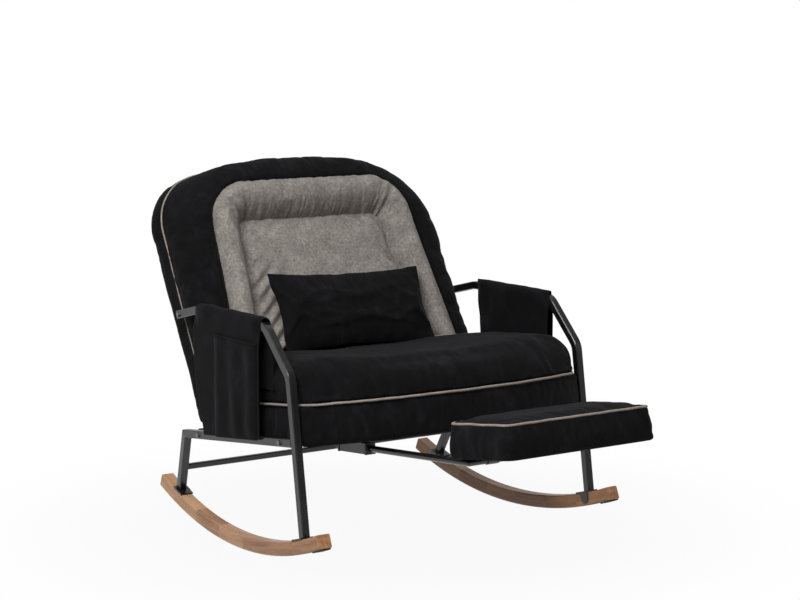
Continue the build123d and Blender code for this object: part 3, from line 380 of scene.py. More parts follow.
def node_copy(node):
    """A bmesh copy of a CAD node, with its loose triangles joined."""
    bm = bmesh.new()
    bm.from_mesh(frame["nodes"][node].data)
    bmesh.ops.remove_doubles(bm, verts=bm.verts, dist=NODE_MERGE)
    return bm


def apply_modifiers(obj):
    """Bake an object's modifiers into its mesh."""
    baked = bpy.data.meshes.new_from_object(obj.evaluated_get(bpy.context.evaluated_depsgraph_get()))
    old = obj.data
    obj.modifiers.clear()
    obj.data = baked
    bpy.data.meshes.remove(old)


def remesh(obj, voxel):
    """Even quads all over a closed mesh."""
    modifier = obj.modifiers.new("Remesh", "REMESH")
    modifier.mode = "VOXEL"
    modifier.voxel_size = voxel
    apply_modifiers(obj)


def relax(obj, times):
    """Smooth a mesh a few times over."""
    bm = bmesh.new()
    bm.from_mesh(obj.data)
    for _ in range(times):
        bmesh.ops.smooth_vert(bm, verts=bm.verts, factor=0.5, use_axis_x=True, use_axis_y=True,
                              use_axis_z=True)
    bm.to_mesh(obj.data)
    bm.free()


def puff(obj, sewn, pressure, frames, cap, slack, bend=0.5):
    """Fill a cover by cloth simulation, where no point moves by more than cap and sewn says what stays."""
    start = [vert.co.copy() for vert in obj.data.vertices]
    group = obj.vertex_groups.new(name="sewn")
    for index, place in enumerate(start):
        group.add([index], float(sewn(place)), "REPLACE")
    cloth = obj.modifiers.new("Cloth", "CLOTH")
    settings = cloth.settings
    settings.quality = 4
    settings.mass = 0.3
    settings.tension_stiffness = 12
    settings.compression_stiffness = 12
    settings.shear_stiffness = 4
    settings.bending_stiffness = bend
    settings.use_pressure = True
    settings.uniform_pressure_force = pressure
    settings.shrink_min = -slack
    settings.vertex_group_mass = group.name
    settings.effector_weights.gravity = 0
    cloth.point_cache.frame_start = 1
    cloth.point_cache.frame_end = frames
    for number in range(1, frames + 1):
        scene.frame_set(number)
    apply_modifiers(obj)
    obj.vertex_groups.clear()
    for vert, place in zip(obj.data.vertices, start):
        shift = vert.co - place
        if shift.length > cap:
            vert.co = place + shift * (cap / shift.length)
    scene.frame_set(1)


def unevenness(*waves):
    """A rule that adds up waves, each given by its height and how closely it repeats."""
    return lambda place: sum(height * noise.noise(place * pitch) for height, pitch in waves)


def shape(obj, rule, marks=None):
    """Move each point along its normal by what rule says of its mark or, without marks, of its place."""
    verts = obj.data.vertices
    known = marks or [vert.co for vert in verts]
    moves = [vert.normal * rule(about) for vert, about in zip(verts, known)]
    for vert, move in zip(verts, moves):
        vert.co += move
    obj.data.update()


def finer(obj):
    """One level of subdivision, the same in view and render."""
    modifier = obj.modifiers.new("Subdivision", "SUBSURF")
    modifier.levels = 1
    modifier.render_levels = 1


def finished(obj, material, rule, marks=None):
    """A filled cover, shaped by a rule, dressed again and made finer."""
    shape(obj, rule, marks)
    dress(obj, material)
    finer(obj)
    return obj


def tube(name, points, radius, material, body, slot, closed=False):
    """A round cord sewn along points, as a mesh."""
    curve = bpy.data.curves.new(name, "CURVE")
    curve.dimensions = "3D"
    curve.bevel_depth = radius
    curve.bevel_resolution = CORD_ROUNDNESS
    curve.use_fill_caps = True
    spline = curve.splines.new("POLY")
    spline.points.add(len(points) - 1)
    for knot, place in zip(spline.points, points):
        knot.co = (*place, 1)
    spline.use_cyclic_u = closed
    drawn = bpy.data.objects.new(name + "_line", curve)
    scene.collection.objects.link(drawn)
    mesh = bpy.data.meshes.new_from_object(drawn.evaluated_get(bpy.context.evaluated_depsgraph_get()))
    bpy.data.objects.remove(drawn)
    bpy.data.curves.remove(curve)
    bm = bmesh.new()
    bm.from_mesh(mesh)
    bpy.data.meshes.remove(mesh)
    return piece(name, bm, material, body, slot)


def piping(name, points, radius, body="chair", closed=False):
    """A cord covered with piping cloth."""
    tube(name, points, radius, BEIGE_PIPING, body, "grey_fabric", closed)


def wavering(points, amount):
    """Points shifted a little, as a hand-sewn cord wavers."""
    return [place + amount * noise.noise_vector(place * 23) for place in points]


def rounded_line(corners, radius, step):
    """Points along straight runs whose inner corners are arcs of one radius, about step apart."""
    points = [Vector(corners[0])]
    for first, corner, last in zip(corners, corners[1:], corners[2:]):
        corner = Vector(corner)
        arrive = (corner - Vector(first)).normalized()
        leave = (Vector(last) - corner).normalized()
        turn = arrive.angle(leave)
        reach = radius * math.tan(turn / 2)
        centre = corner + (leave - arrive).normalized() * (radius / math.cos(turn / 2))
        start = corner - arrive * reach - centre
        count = max(4, int(radius * turn / step))
        for index in range(count + 1):
            angle = turn * index / count
            points.append(centre + start * math.cos(angle) + arrive * (radius * math.sin(angle)))
    points.append(Vector(corners[-1]))
    spread = [points[0]]
    for place in points[1:]:
        origin = spread[-1]
        count = max(1, round((place - origin).length / step))
        spread.extend(origin.lerp(place, (index + 1) / count) for index in range(count))
    return spread


# Seat: boxed lower half, cushion, dust cover underneath and piping

SEAT_HALF = 0.410
SEAT_SIDE_FRONT = -0.012
SEAT_CENTRE_FRONT = -0.103
SEAT_REACH = 0.4125
SEAT_LOW = -0.010
SEAT_WRAP = -0.0126
SEAT_SEAM = 0.085
SEAT_TOP = 0.187
SEAT_DIP = 0.004
SEAT_BACK_GAP = 0.002
SEAT_CORNER = 0.03
SEAT_BASE_CORNER = 0.004
SEAT_END_FULLNESS = 0.015
SEAT_LEVELLING = 0.011
SEAT_SIDE_STEPS, SEAT_FRONT_STEPS, SEAT_REAR_STEPS = 16, 48, 24
# How far from a seam its cloth is held down
SEAM_REACH = 0.006
DUST_COVER = -0.0136
DUST_COVER_INSET = 0.030
DUST_COVER_SAG = 0.0008
DUST_COVER_CRUMPLE = 0.0010
PIPING = 0.0030
THIN_PIPING = 0.0022
PIPING_WAVER = 0.0012
SEAT_PIPING_PROUD = 0.001
REAR_PIPING_HALF = 0.37
REAR_PIPING_INSET = 0.020
REAR_PIPING_ABOVE = 0.03
REAR_PIPING_STEPS = 64


def seat_front(x):
    """How far forward the bowed front of the seat reaches."""
    sag = SEAT_SIDE_FRONT - SEAT_CENTRE_FRONT
    bow = (SEAT_HALF**2 + sag**2) / (2 * sag)
    return SEAT_CENTRE_FRONT + bow - math.sqrt(bow**2 - x**2)


def seat_rear(over):
    """How far back the seat reaches at a height over the rails, where it meets the back."""
    low = seat_place(back_point(0, 0, SEAT_BACK_GAP))
    high = seat_place(back_point(0, 1, SEAT_BACK_GAP))
    return low[1] + (over - low[2]) / (high[2] - low[2]) * (high[1] - low[1])


def seat_ring(over, inset, corner=SEAT_CORNER):
    """Plan outline of the seat at a height, drawn in by inset, with softly rounded front corners."""
    half = SEAT_HALF - inset
    rear = seat_rear(over)
    front = seat_front(half) + inset + corner
    points = [seat_point(half, along, over) for along in spaced(rear, front, SEAT_SIDE_STEPS)]
    for turn in spaced(0, math.pi, SEAT_FRONT_STEPS)[1:-1]:
        x = half * math.cos(turn)
        lift = max(0, corner - half + abs(x))
        points.append(seat_point(x, seat_front(x) + inset + lift, over))
    points += [seat_point(-half, along, over) for along in spaced(front, rear, SEAT_SIDE_STEPS)]
    points += [seat_point(x, rear, over) for x in spaced(-half, half, SEAT_REAR_STEPS)[1:-1]]
    return points


def seat_base():
    """Boxed lower half of the seat: foam behind a cover that swells a little and turns under the frame."""
    middle = (SEAT_LOW + SEAT_SEAM) / 2
    levels = ((SEAT_WRAP, 0.045), (SEAT_WRAP, 0.006), (SEAT_LOW + 0.001, 0.001), (middle, 0.0),
              (SEAT_SEAM - 0.004, 0.002), (SEAT_SEAM - 0.001, 0.008))
    rings = [seat_ring(over, inset, SEAT_BASE_CORNER) for over, inset in levels]
    obj = piece("seat_base_cover", loft(rings), BLACK_PILE, "chair", "black_fabric", "seat_base")
    remesh(obj, voxel=0.008)

    def sewn(place):
        along, over = seat_place(place)[1:]
        return over > SEAT_SEAM - 0.010 or over < SEAT_LOW + 0.008 or along > 0.2

    puff(obj, sewn, pressure=2.5, frames=14, cap=0.006, slack=0.02)
    return finished(obj, BLACK_PILE, unevenness((0.0012, 28), (0.0016, 9)))


def seat_cushion():
    """Seat cushion with a full nose, fuller ends and a level top, pulled in along its piping."""
    obj = piece("seat_cushion_cover", node_copy("seat_cushion"), BLACK_PILE, "chair", "black_fabric",
                "seat_cushion")
    remesh(obj, voxel=0.008)
    relax(obj, times=4)

    def sewn(place):
        along, over = seat_place(place)[1:]
        return over < SEAT_SEAM + SEAM_REACH or along > seat_rear(over) - 0.02

    puff(obj, sewn, pressure=3.0, frames=16, cap=0.004, slack=0.03)

    def dents(place):
        x, along, over = seat_place(place)
        top = ease(0.12, 0.18, over)
        near_seam = 1 - ease(SEAT_SEAM, SEAT_SEAM + 0.05, over)
        gathers = 0.0020 * near_seam * noise.noise(Vector((x * 30, along * 30, 0)))
        hollows = 0.0045 * top * noise.noise(Vector((x * 6, along * 7, 1.7)))
        return gathers + hollows + 0.0012 * noise.noise(place * 26)

    def fuller_ends(place):
        x, _, over = seat_place(place)
        level = SEAT_LEVELLING * ease(0.30, 0.08, abs(x)) * ease(0.14, 0.175, over)
        return SEAT_END_FULLNESS * ease(0.26, 0.39, abs(x)) * ease(0.10, 0.15, over) - level

    shape(obj, fuller_ends)
    for vert in obj.data.vertices:
        vert.co.x = max(-SEAT_REACH, min(SEAT_REACH, vert.co.x))
    return finished(obj, BLACK_PILE, dents)


def dust_cover():
    """Thin cloth stapled under the seat frame, a little slack between the staples."""
    bm = bmesh.new()
    bmesh.ops.create_grid(bm, x_segments=72, y_segments=44, size=1)
    half = SEAT_HALF - DUST_COVER_INSET
    rear = seat_rear(DUST_COVER) - DUST_COVER_INSET
    for vert in bm.verts:
        x = half * vert.co.x
        front = seat_front(x) + DUST_COVER_INSET
        share = (vert.co.y + 1) / 2
        slack = (1 - vert.co.x**2) * (1 - vert.co.y**2)
        crumple = DUST_COVER_CRUMPLE * noise.noise(Vector((x * 16, share * 7, 0.6)))
        over = DUST_COVER - DUST_COVER_SAG * slack + crumple * slack
        vert.co = seat_point(x, front + (rear - front) * share, over)
    bmesh.ops.recalc_face_normals(bm, faces=bm.faces)
    obj = piece("dust_cover_cloth", bm, NODE_FINISHES["webbing"], "chair", "black_fabric", "dust_cover")


def seat_piping(cushion):
    """Piping between the seat's two halves, round the front and both sides, and along the rear of its top."""
    line = seat_ring(SEAT_SEAM, -SEAT_PIPING_PROUD)[: 1 - SEAT_REAR_STEPS]
    piping("seat_piping", wavering(line, PIPING_WAVER), PIPING)
    along = seat_rear(SEAT_TOP) - REAR_PIPING_INSET
    over = SEAT_TOP + REAR_PIPING_ABOVE
    above = [seat_point(REAR_PIPING_HALF * share, along, over) for share in spaced(-1, 1, REAR_PIPING_STEPS)]
    rear = [cushion.closest_point_on_mesh(place)[1] for place in above]
    piping("seat_rear_piping", rear, THIN_PIPING)


seat_base()
seat_top = seat_cushion()
dust_cover()
seat_piping(seat_top)


# Back: black shell with rounded shoulders, side piping, grey bolster and pad

BACK_HALF = 0.4095
BACK_FOOT = -0.152
BACK_SHOULDER = 0.663
BACK_TOP = 0.701
BACK_VALLEY = 0.005
BACK_PIPING_DEPTH = 0.088
BACK_PIPING_PROUD = 0.0012
BACK_FACE_DEPTH = 0.06
BACK_HIDDEN_FOOT = 0.06
# Height of the seat frame under the back, and about the sine and cosine of the back's lean over it
BACK_FRAME_TOP = -0.021
BACK_FRAME_SINE, BACK_FRAME_COSINE = 0.368, 0.93
BACK_FRAME_GAP = 0.004
# Depth, corner radius, draw-in of the shoulders and lift of the top, from the front rim to the rear panel
BACK_STATIONS = ((0.039, 0.247, 0.0165, 0.0), (0.066, 0.200, 0.010, 0.004), (0.088, 0.160, 0.007, 0.010),
                 (0.126, 0.172, 0.0, 0.010))
RECESS = 0.0434
ARCH_HALF = 0.3435
ARCH_TAPER = 0.0853
ARCH_TOP = 0.627
ARCH_RISE = 0.0015
ARCH_CORNER = 0.117
ARCH_INNER_CORNER = 0.026
BOLSTER_SIDE = 0.081
BOLSTER_CAP = 0.104
BOLSTER_RISE = 0.0504
BOLSTER_CREST = 0.42
BOLSTER_FULLNESS = 0.8
BOLSTER_SEAM_OUT = -0.004
BOLSTER_SEAM_FALL = 0.036
BOLSTER_FOOT = 0.09
BOLSTER_LEVELS = 24
BOLSTER_SEAT_ROOM = 0.002
CORNER_GATHER_REACH = 0.060
MITRE_REACH = 0.008
MITRE_DEPTH = 0.0090
BACK_PAD_FOLD_DEPTH = 0.0052
BACK_PAD_FOLD_PITCH = 150
SIDE_STEPS, CORNER_STEPS, TOP_STEPS, BASE_STEPS = 84, 40, 64, 30
CORNER_MIDDLE = SIDE_STEPS + CORNER_STEPS // 2
LINE_STEPS = 2 * (SIDE_STEPS + CORNER_STEPS + TOP_STEPS)


def round_about(centre, radius, start, end, count):
    """Points along an arc, without its last one."""
    turns = spaced(start, end, count)[:-1]
    return [centre + radius * Vector((math.cos(turn), math.sin(turn))) for turn in turns]


def arched(foot, shoulder, rise, corner):
    """An arch in the plane of the back: up one side, round a corner, over a crowned top and down again."""
    foot, shoulder = Vector(foot), Vector(shoulder)
    radius = (shoulder.x**2 + rise**2) / (2 * rise)
    hub = Vector((0, shoulder.y + rise - radius))
    climb = (shoulder - foot).normalized()
    inward = Vector((-climb.y, climb.x))
    start = foot + inward * corner
    ahead = (start - hub).dot(climb)
    run = math.sqrt(ahead**2 - (start - hub).length_squared + (radius - corner)**2) - ahead
    centre = start + climb * run
    begin = math.atan2(-inward.y, -inward.x)
    end = math.atan2(centre.y - hub.y, centre.x)
    right = [foot.lerp(centre - inward * corner, share) for share in spaced(0, 1, SIDE_STEPS)[:-1]]
    right += round_about(centre, corner, begin, end, CORNER_STEPS)
    right += round_about(hub, radius, end, math.pi / 2, TOP_STEPS)
    peak = Vector((0, shoulder.y + rise))
    return right + [peak] + [Vector((-spot.x, spot.y)) for spot in reversed(right)]


def back_station(depth):
    """Corner radius, shoulder draw-in and lift of the back's outline at a depth."""
    before, after = BACK_STATIONS[0], BACK_STATIONS[0]
    for station in BACK_STATIONS:
        before, after = after, station
        if depth <= station[0]:
            break
    share = min(1, (depth - before[0]) / (after[0] - before[0])) if depth > before[0] else 0
    return [first + (last - first) * share for first, last in zip(before[1:], after[1:])]


def back_line(depth, inset):
    """Outline of the back at a depth, drawn in by inset."""
    corner, draw, lift = back_station(depth)
    low = back_low(depth)
    half = BACK_HALF - inset
    shoulder = BACK_SHOULDER - inset
    foot_half = half - draw * (low - BACK_FOOT) / (shoulder - BACK_FOOT)
    return arched((foot_half, low), (half - draw, shoulder), BACK_TOP + lift - BACK_SHOULDER, corner - inset)


def arch_line(share, spread, low):
    """A line round the bolster, from 0 at its outer seam to 1 at its inner seam, spread outwards."""
    def half(up):
        return ARCH_HALF - ARCH_TAPER * up - BOLSTER_SIDE * share + spread

    top = ARCH_TOP - BOLSTER_CAP * share + spread
    corner = ARCH_CORNER + (ARCH_INNER_CORNER - ARCH_CORNER) * share + max(spread, 0)
    return arched((half(low), low), (half(top), top), ARCH_RISE, corner)


def back_low(depth):
    """How low the back reaches at a depth, just over the seat frame."""
    return (BACK_FRAME_TOP + BACK_FRAME_SINE * depth) / BACK_FRAME_COSINE + BACK_FRAME_GAP


def closed_ring(points):
    """A line of places closed along its bottom."""
    return points + [points[-1].lerp(points[0], share) for share in spaced(0, 1, BASE_STEPS)[1:-1]]


def shell_ring(line, depth):
    """A line across the back, set at a depth and closed."""
    return closed_ring([back_point(spot.x, spot.y, -depth) for spot in line])


def back_shell():
    """Black padded shell: rear panel, boxed sides and one smooth roll from piping to bolster."""
    walls = ((0.152, 0.070), (0.151, 0.036), (0.147, 0.016), (0.139, 0.003), (0.126, -0.003), (0.110, -0.002),
             (0.097, 0.002), (BACK_PIPING_DEPTH, BACK_VALLEY), (0.080, 0.003), (0.066, 0.001),
             (0.052, 0.0005), (0.039, 0.001), (0.026, 0.007), (0.014, 0.019), (0.006, 0.035), (0.001, 0.052))
    rings = [shell_ring(back_line(depth, inset), depth) for depth, inset in walls]
    rim = back_line(*walls[-1])
    seam = arch_line(0, 0, back_low(0))
    for share, depth in ((0.4, -0.003), (0.75, -0.001), (1, 0.006)):
        rings.append(shell_ring([first.lerp(last, share) for first, last in zip(rim, seam)], depth))
    for spread, depth in ((-0.008, 0.016), (-0.012, RECESS)):
        rings.append(shell_ring(arch_line(0, spread, back_low(0)), depth))
    obj = piece("back_shell_cover", loft(rings), BLACK_PILE, "chair", "black_fabric", "back_cushion")
    remesh(obj, voxel=0.008)
    relax(obj, times=2)

    def sewn(place):
        x, up, out = back_place(place)
        in_arch = abs(x) < ARCH_HALF - ARCH_TAPER * up + SEAM_REACH and up < ARCH_TOP + SEAM_REACH
        at_piping = abs(out + BACK_PIPING_DEPTH) < SEAM_REACH
        return (in_arch and out > -BACK_FACE_DEPTH) or up < BACK_HIDDEN_FOOT or at_piping

    puff(obj, sewn, pressure=2.5, frames=14, cap=0.0045, slack=0.02)
    return finished(obj, BLACK_PILE, unevenness((0.0024, 7), (0.0012, 24)))


def back_piping():
    """Piping in the valley round the back's side walls and top."""
    line = back_line(BACK_PIPING_DEPTH, BACK_VALLEY - BACK_PIPING_PROUD)
    points = [back_point(spot.x, spot.y, -BACK_PIPING_DEPTH) for spot in line]
    piping("back_piping", wavering(points, PIPING_WAVER), THIN_PIPING)


def over_seat(x, up, out, room):
    """A place on the back, raised where it would have less room than this over the seat's level top."""
    lift = SEAT_TOP - SEAT_DIP + room - seat_place(back_point(x, up, out))[2]
    return back_point(x, up + max(0, lift) / math.cos(BACK_LEAN - SEAT_TILT), out)


def bolster_out(share):
    """How far the bolster stands out of the back between its outer and its inner seam."""
    base = BOLSTER_SEAM_OUT - BOLSTER_SEAM_FALL * share
    if not 0 < share < 1:
        return base
    if share < BOLSTER_CREST:
        turn = share / BOLSTER_CREST
    else:
        turn = 1 + (share - BOLSTER_CREST) / (1 - BOLSTER_CREST)
    return base + BOLSTER_RISE * math.sin(math.pi / 2 * turn) ** BOLSTER_FULLNESS


def bolster():
    """Grey bolster: a stuffed arch, creased at its corners and gathered along its inner seam."""
    section = [(share, bolster_out(share)) for share in spaced(0, 1, BOLSTER_LEVELS)]
    section += [(1, -RECESS), (0.66, -RECESS), (0.33, -RECESS), (0, -RECESS)]
    lines = [arch_line(share, 0, BOLSTER_FOOT) for share, out in section]
    middle = lines[BOLSTER_LEVELS // 2]
    rings = []
    marks = []
    gone = 0.0
    for step in range(LINE_STEPS + 1):
        if step:
            gone += (middle[step] - middle[step - 1]).length
        rings.append([over_seat(line[step].x, line[step].y, out, BOLSTER_SEAT_ROOM)
                      for line, (share, out) in zip(lines, section)])
        marks += [(step, gone, share, out) for share, out in section]
    obj = piece("back_bolster_cover", loft(rings), GREY_CHENILLE, "chair", "grey_fabric", "back_bolster")

    def rounded(place):
        return tuple(round(part, 5) for part in place)

    seams = {rounded(vert.co): mark for vert, mark in zip(obj.data.vertices, marks)}

    def sewn(place):
        share, out = seams[rounded(place)][2:]
        return share < 0.05 or share > 0.95 or out <= -RECESS

    puff(obj, sewn, pressure=3.0, frames=14, cap=0.004, slack=0.012, bend=0.3)
    corner = marks[CORNER_MIDDLE * len(section)][1]

    def gathers(mark):
        step, length, share, out = mark
        if out <= -RECESS:
            return 0.0
        bend = min(abs(length - corner), abs(gone - length - corner))
        near_corner = math.exp(-(bend / CORNER_GATHER_REACH) ** 2)
        mitre = math.exp(-(bend / MITRE_REACH) ** 2) * math.sin(math.pi * share)
        inner = ease(0.45, 0.9, share)
        outer = ease(0.35, 0.05, share)
        top = ease(SIDE_STEPS, SIDE_STEPS + CORNER_STEPS, min(step, LINE_STEPS - step))
        fold = noise.noise(Vector((length * 62, share * 0.9, 0.3)))
        fine = noise.noise(Vector((length * 150, share * 1.4, 4.1)))
        pull = (0.0012 + 0.0022 * top + 0.0050 * near_corner) * fold + (0.0007 + 0.0016 * top) * fine
        lump = 0.0012 * noise.noise(Vector((length * 11, share * 2.0, 7.7)))
        return pull * (0.25 + inner + 0.35 * outer) + lump * math.sin(math.pi * share) - MITRE_DEPTH * mitre

    return finished(obj, GREY_CHENILLE, gathers, marks)


def back_pad():
    """Grey pad: crowned, soft, with slanting folds where the bolster presses on its side."""
    section = ((0, 0.004), (0.005, 0.008), (0.011, 0.007), (0.018, -0.001), (0.024, -0.016), (0.028, -0.056))
    rings = []
    for rise, spread in section:
        line = [over_seat(spot.x, spot.y, rise - RECESS, BOLSTER_SEAT_ROOM)
                for spot in arch_line(1, spread, BOLSTER_FOOT)]
        rings.append(closed_ring(line))
    obj = piece("back_pad_cover", loft(rings), GREY_CHENILLE, "chair", "grey_fabric", "back_pad")
    remesh(obj, voxel=0.006)
    relax(obj, times=2)

    def sewn(place):
        return back_place(place)[2] < -RECESS + 0.010

    puff(obj, sewn, pressure=2.0, frames=14, cap=0.006, slack=0.03, bend=0.3)

    def folds(place):
        x, up, out = back_place(place)
        face = ease(-RECESS + 0.010, -RECESS + 0.022, out)
        edge = ease(0.12, 0.20, abs(x)) * ease(0.46, 0.34, up)
        slant = math.sin((up + abs(x) * 0.9) * BACK_PAD_FOLD_PITCH)
        lump = 0.0032 * noise.noise(Vector((x * 11, up * 11, 2.2)))
        return face * (edge * BACK_PAD_FOLD_DEPTH * slant + lump) + 0.0010 * noise.noise(place * 34)

    return finished(obj, GREY_CHENILLE, folds)


for made, fill in ((back_shell(), 0.85), (bolster(), 0.8), (back_pad(), 0.6)):
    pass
back_piping()


# Loose lumbar pillow

PILLOW_WIDTH = 0.462
PILLOW_HEIGHT = 0.222
PILLOW_ACROSS = 0.006
PILLOW_TURN = math.radians(1.6)
PILLOW_UP = 0.236
PILLOW_OUT = 0.0472
PILLOW_SWELL = 0.040
PILLOW_REAR_SWELL = 0.050
PILLOW_DRAW = 0.012
PILLOW_SINK = 0.016
PILLOW_FULLNESS = 0.62
PILLOW_END_SQUARENESS = 2.8
PILLOW_EDGE_SQUARENESS = 2.4
PILLOW_MERGE = 0.0002
PILLOW_SEAM_HALF = 0.0005


def lumbar_pillow():
    """Black pillow sewn from two panels, with pointed corners, hollowed edges and puckers along the seam."""
    bm = bmesh.new()
    bmesh.ops.create_grid(bm, x_segments=76, y_segments=36, size=1)
    copy = bmesh.ops.duplicate(bm, geom=bm.verts[:] + bm.edges[:] + bm.faces[:])["geom"]
    rear = {item for item in copy if isinstance(item, bmesh.types.BMVert)}
    for vert in bm.verts:
        u, v = vert.co.x, vert.co.y
        swell = (1 - abs(u) ** PILLOW_END_SQUARENESS) ** PILLOW_FULLNESS
        swell = swell * (1 - abs(v) ** PILLOW_EDGE_SQUARENESS) ** PILLOW_FULLNESS
        x = u * (PILLOW_WIDTH / 2 - PILLOW_DRAW * (1 - v * v))
        up = v * (PILLOW_HEIGHT / 2 - PILLOW_DRAW * (1 - u * u))
        out = swell * (-PILLOW_REAR_SWELL if vert in rear else PILLOW_SWELL)
        across = x * math.cos(PILLOW_TURN) + up * math.sin(PILLOW_TURN)
        rise = up * math.cos(PILLOW_TURN) - x * math.sin(PILLOW_TURN)
        vert.co = over_seat(PILLOW_ACROSS + across, PILLOW_UP + rise, PILLOW_OUT + out, -PILLOW_SINK)
    bmesh.ops.remove_doubles(bm, verts=bm.verts, dist=PILLOW_MERGE)
    bmesh.ops.recalc_face_normals(bm, faces=bm.faces)
    obj = piece("lumbar_pillow_cover", bm, BLACK_PILE, "lumbar_pillow", "black_fabric", "lumbar_pillow")

    def sewn(place):
        return abs(back_place(place)[2] - PILLOW_OUT) < PILLOW_SEAM_HALF

    puff(obj, sewn, pressure=3.0, frames=16, cap=0.004, slack=0.015, bend=0.4)

    def puckers(place):
        x, up, out = back_place(place)
        near_seam = 1 - ease(0.006, 0.034, abs(out - PILLOW_OUT))
        pull = 0.0022 * noise.noise(Vector((x * 44, (up - PILLOW_UP) * 44, 3.1)))
        return near_seam * pull + 0.0026 * noise.noise(place * 13) + 0.0010 * noise.noise(place * 34)

    return finished(obj, BLACK_PILE, puckers)


lumbar_pillow()


# Footrest pad with its piping

PAD_HALF = 0.208
PAD_FRONT = -0.190
PAD_REAR = 0.034
PAD_LOW = 0.012
PAD_SEAM = 0.090
PAD_ROUND = 0.018
PAD_FLARE = 0.009
PAD_PIPING_INSET = 0.0045
PAD_PIPING_WAVER = 0.0010
PAD_STEP = 0.012


def footrest_ring(over, inset):
    """Outline of the footrest pad at a height over its bar."""
    half = PAD_HALF - inset + PAD_FLARE * (PAD_SEAM - over) / (PAD_SEAM - PAD_LOW)
    front, rear = PAD_FRONT + inset, PAD_REAR - inset
    line = rounded_line([(0, rear, 0), (half, rear, 0), (half, front, 0), (-half, front, 0), (-half, rear, 0),
                         (0, rear, 0)], PAD_ROUND, PAD_STEP)
    return [pad_point(spot.x, spot.y, over) for spot in line[:-1]]


def footrest_pad():
    """Boxed pad with a low crown."""
    levels = ((PAD_LOW, 0.012), (PAD_LOW, 0.004), (PAD_LOW + 0.006, 0.001), ((PAD_LOW + PAD_SEAM) / 2, 0),
              (PAD_SEAM - 0.003, 0.002), (PAD_SEAM + 0.003, 0.006), (PAD_SEAM + 0.007, 0.026),
              (PAD_SEAM + 0.010, 0.060))
    rings = [footrest_ring(over, inset) for over, inset in levels]
    obj = piece("footrest_pad_cover", loft(rings), BLACK_PILE, "footrest_cushion", "black_fabric",
                "footrest_pad")
    remesh(obj, voxel=0.006)

    def sewn(place):
        over = pad_place(place)[2]
        return over < PAD_LOW + SEAM_REACH or abs(over - PAD_SEAM) < 0.004

    puff(obj, sewn, pressure=2.0, frames=12, cap=0.004, slack=0.02)
    return finished(obj, BLACK_PILE, unevenness((0.0014, 14), (0.0007, 40)))


def footrest_piping():
    """Piping round the top edge of the footrest pad."""
    line = wavering(footrest_ring(PAD_SEAM, PAD_PIPING_INSET), PAD_PIPING_WAVER)
    piping("footrest_piping", line, PIPING, "footrest_cushion", closed=True)


footrest_pad()
footrest_piping()


# Arm covers and their side pockets

ARM_X = 0.425
COVER_HALF = 0.0150
COVER_BEND = 0.0145
COVER_TOP = 0.5725
COVER_INNER_LOW = 0.400
# Front and rear edges of the inner and the outer flap at the top, and the slant of their rear edges
COVER_FRONTS = (-0.155, -0.139)
COVER_REARS = (0.150, 0.172)
COVER_SLANTS = (0.235, 0.157)
COVER_BELLY = 0.017
COVER_DROP = 0.27
COVER_RAIL_GAP = 0.003
COVER_PUFF = 0.0030
COVER_PUFF_DROP = 0.05
COVER_RIPPLE = 0.0022
COVER_TUCK = 0.55
COVER_TUCK_REACH = 0.05
CLOTH = 0.0025
POCKET_X = 0.4415
POCKET_FRONT = -0.130
POCKET_REAR = 0.066
POCKET_MOUTH = 0.510
POCKET_BULGE = 0.0085
POCKET_PLEATS = 5.2
POCKET_PLEAT_DEPTH = 0.0030
POCKET_CRUMPLE = 0.0022
POCKET_TURN_IN = 0.002
POCKET_HEM = 0.0030
HEM_STEPS = 48


def cover_low(y):
    """Height of the outer flap's bottom edge, just over the seat rail."""
    return SEAT_ORIGIN.z - math.tan(SEAT_TILT) * (y - SEAT_ORIGIN.y) + COVER_RAIL_GAP


def cover_span(x, z):
    """Where a cover starts and ends along the arm, at a place across the arm and a height."""
    outer = (x / COVER_HALF + 1) / 2
    edges = (COVER_FRONTS, COVER_REARS, COVER_SLANTS)
    front, rear, slant = (first + (last - first) * outer for first, last in edges)
    drop = max(0, COVER_TOP - COVER_BEND - z)
    belly = COVER_BELLY * outer * math.sin(math.pi * min(1, drop / COVER_DROP))
    return front, rear - slant * drop + belly


def thicken(obj):
    """Give a sheet its cloth thickness and round its edges."""
    solid = obj.modifiers.new("Thickness", "SOLIDIFY")
    solid.thickness = CLOTH
    solid.offset = 0
    finer(obj)


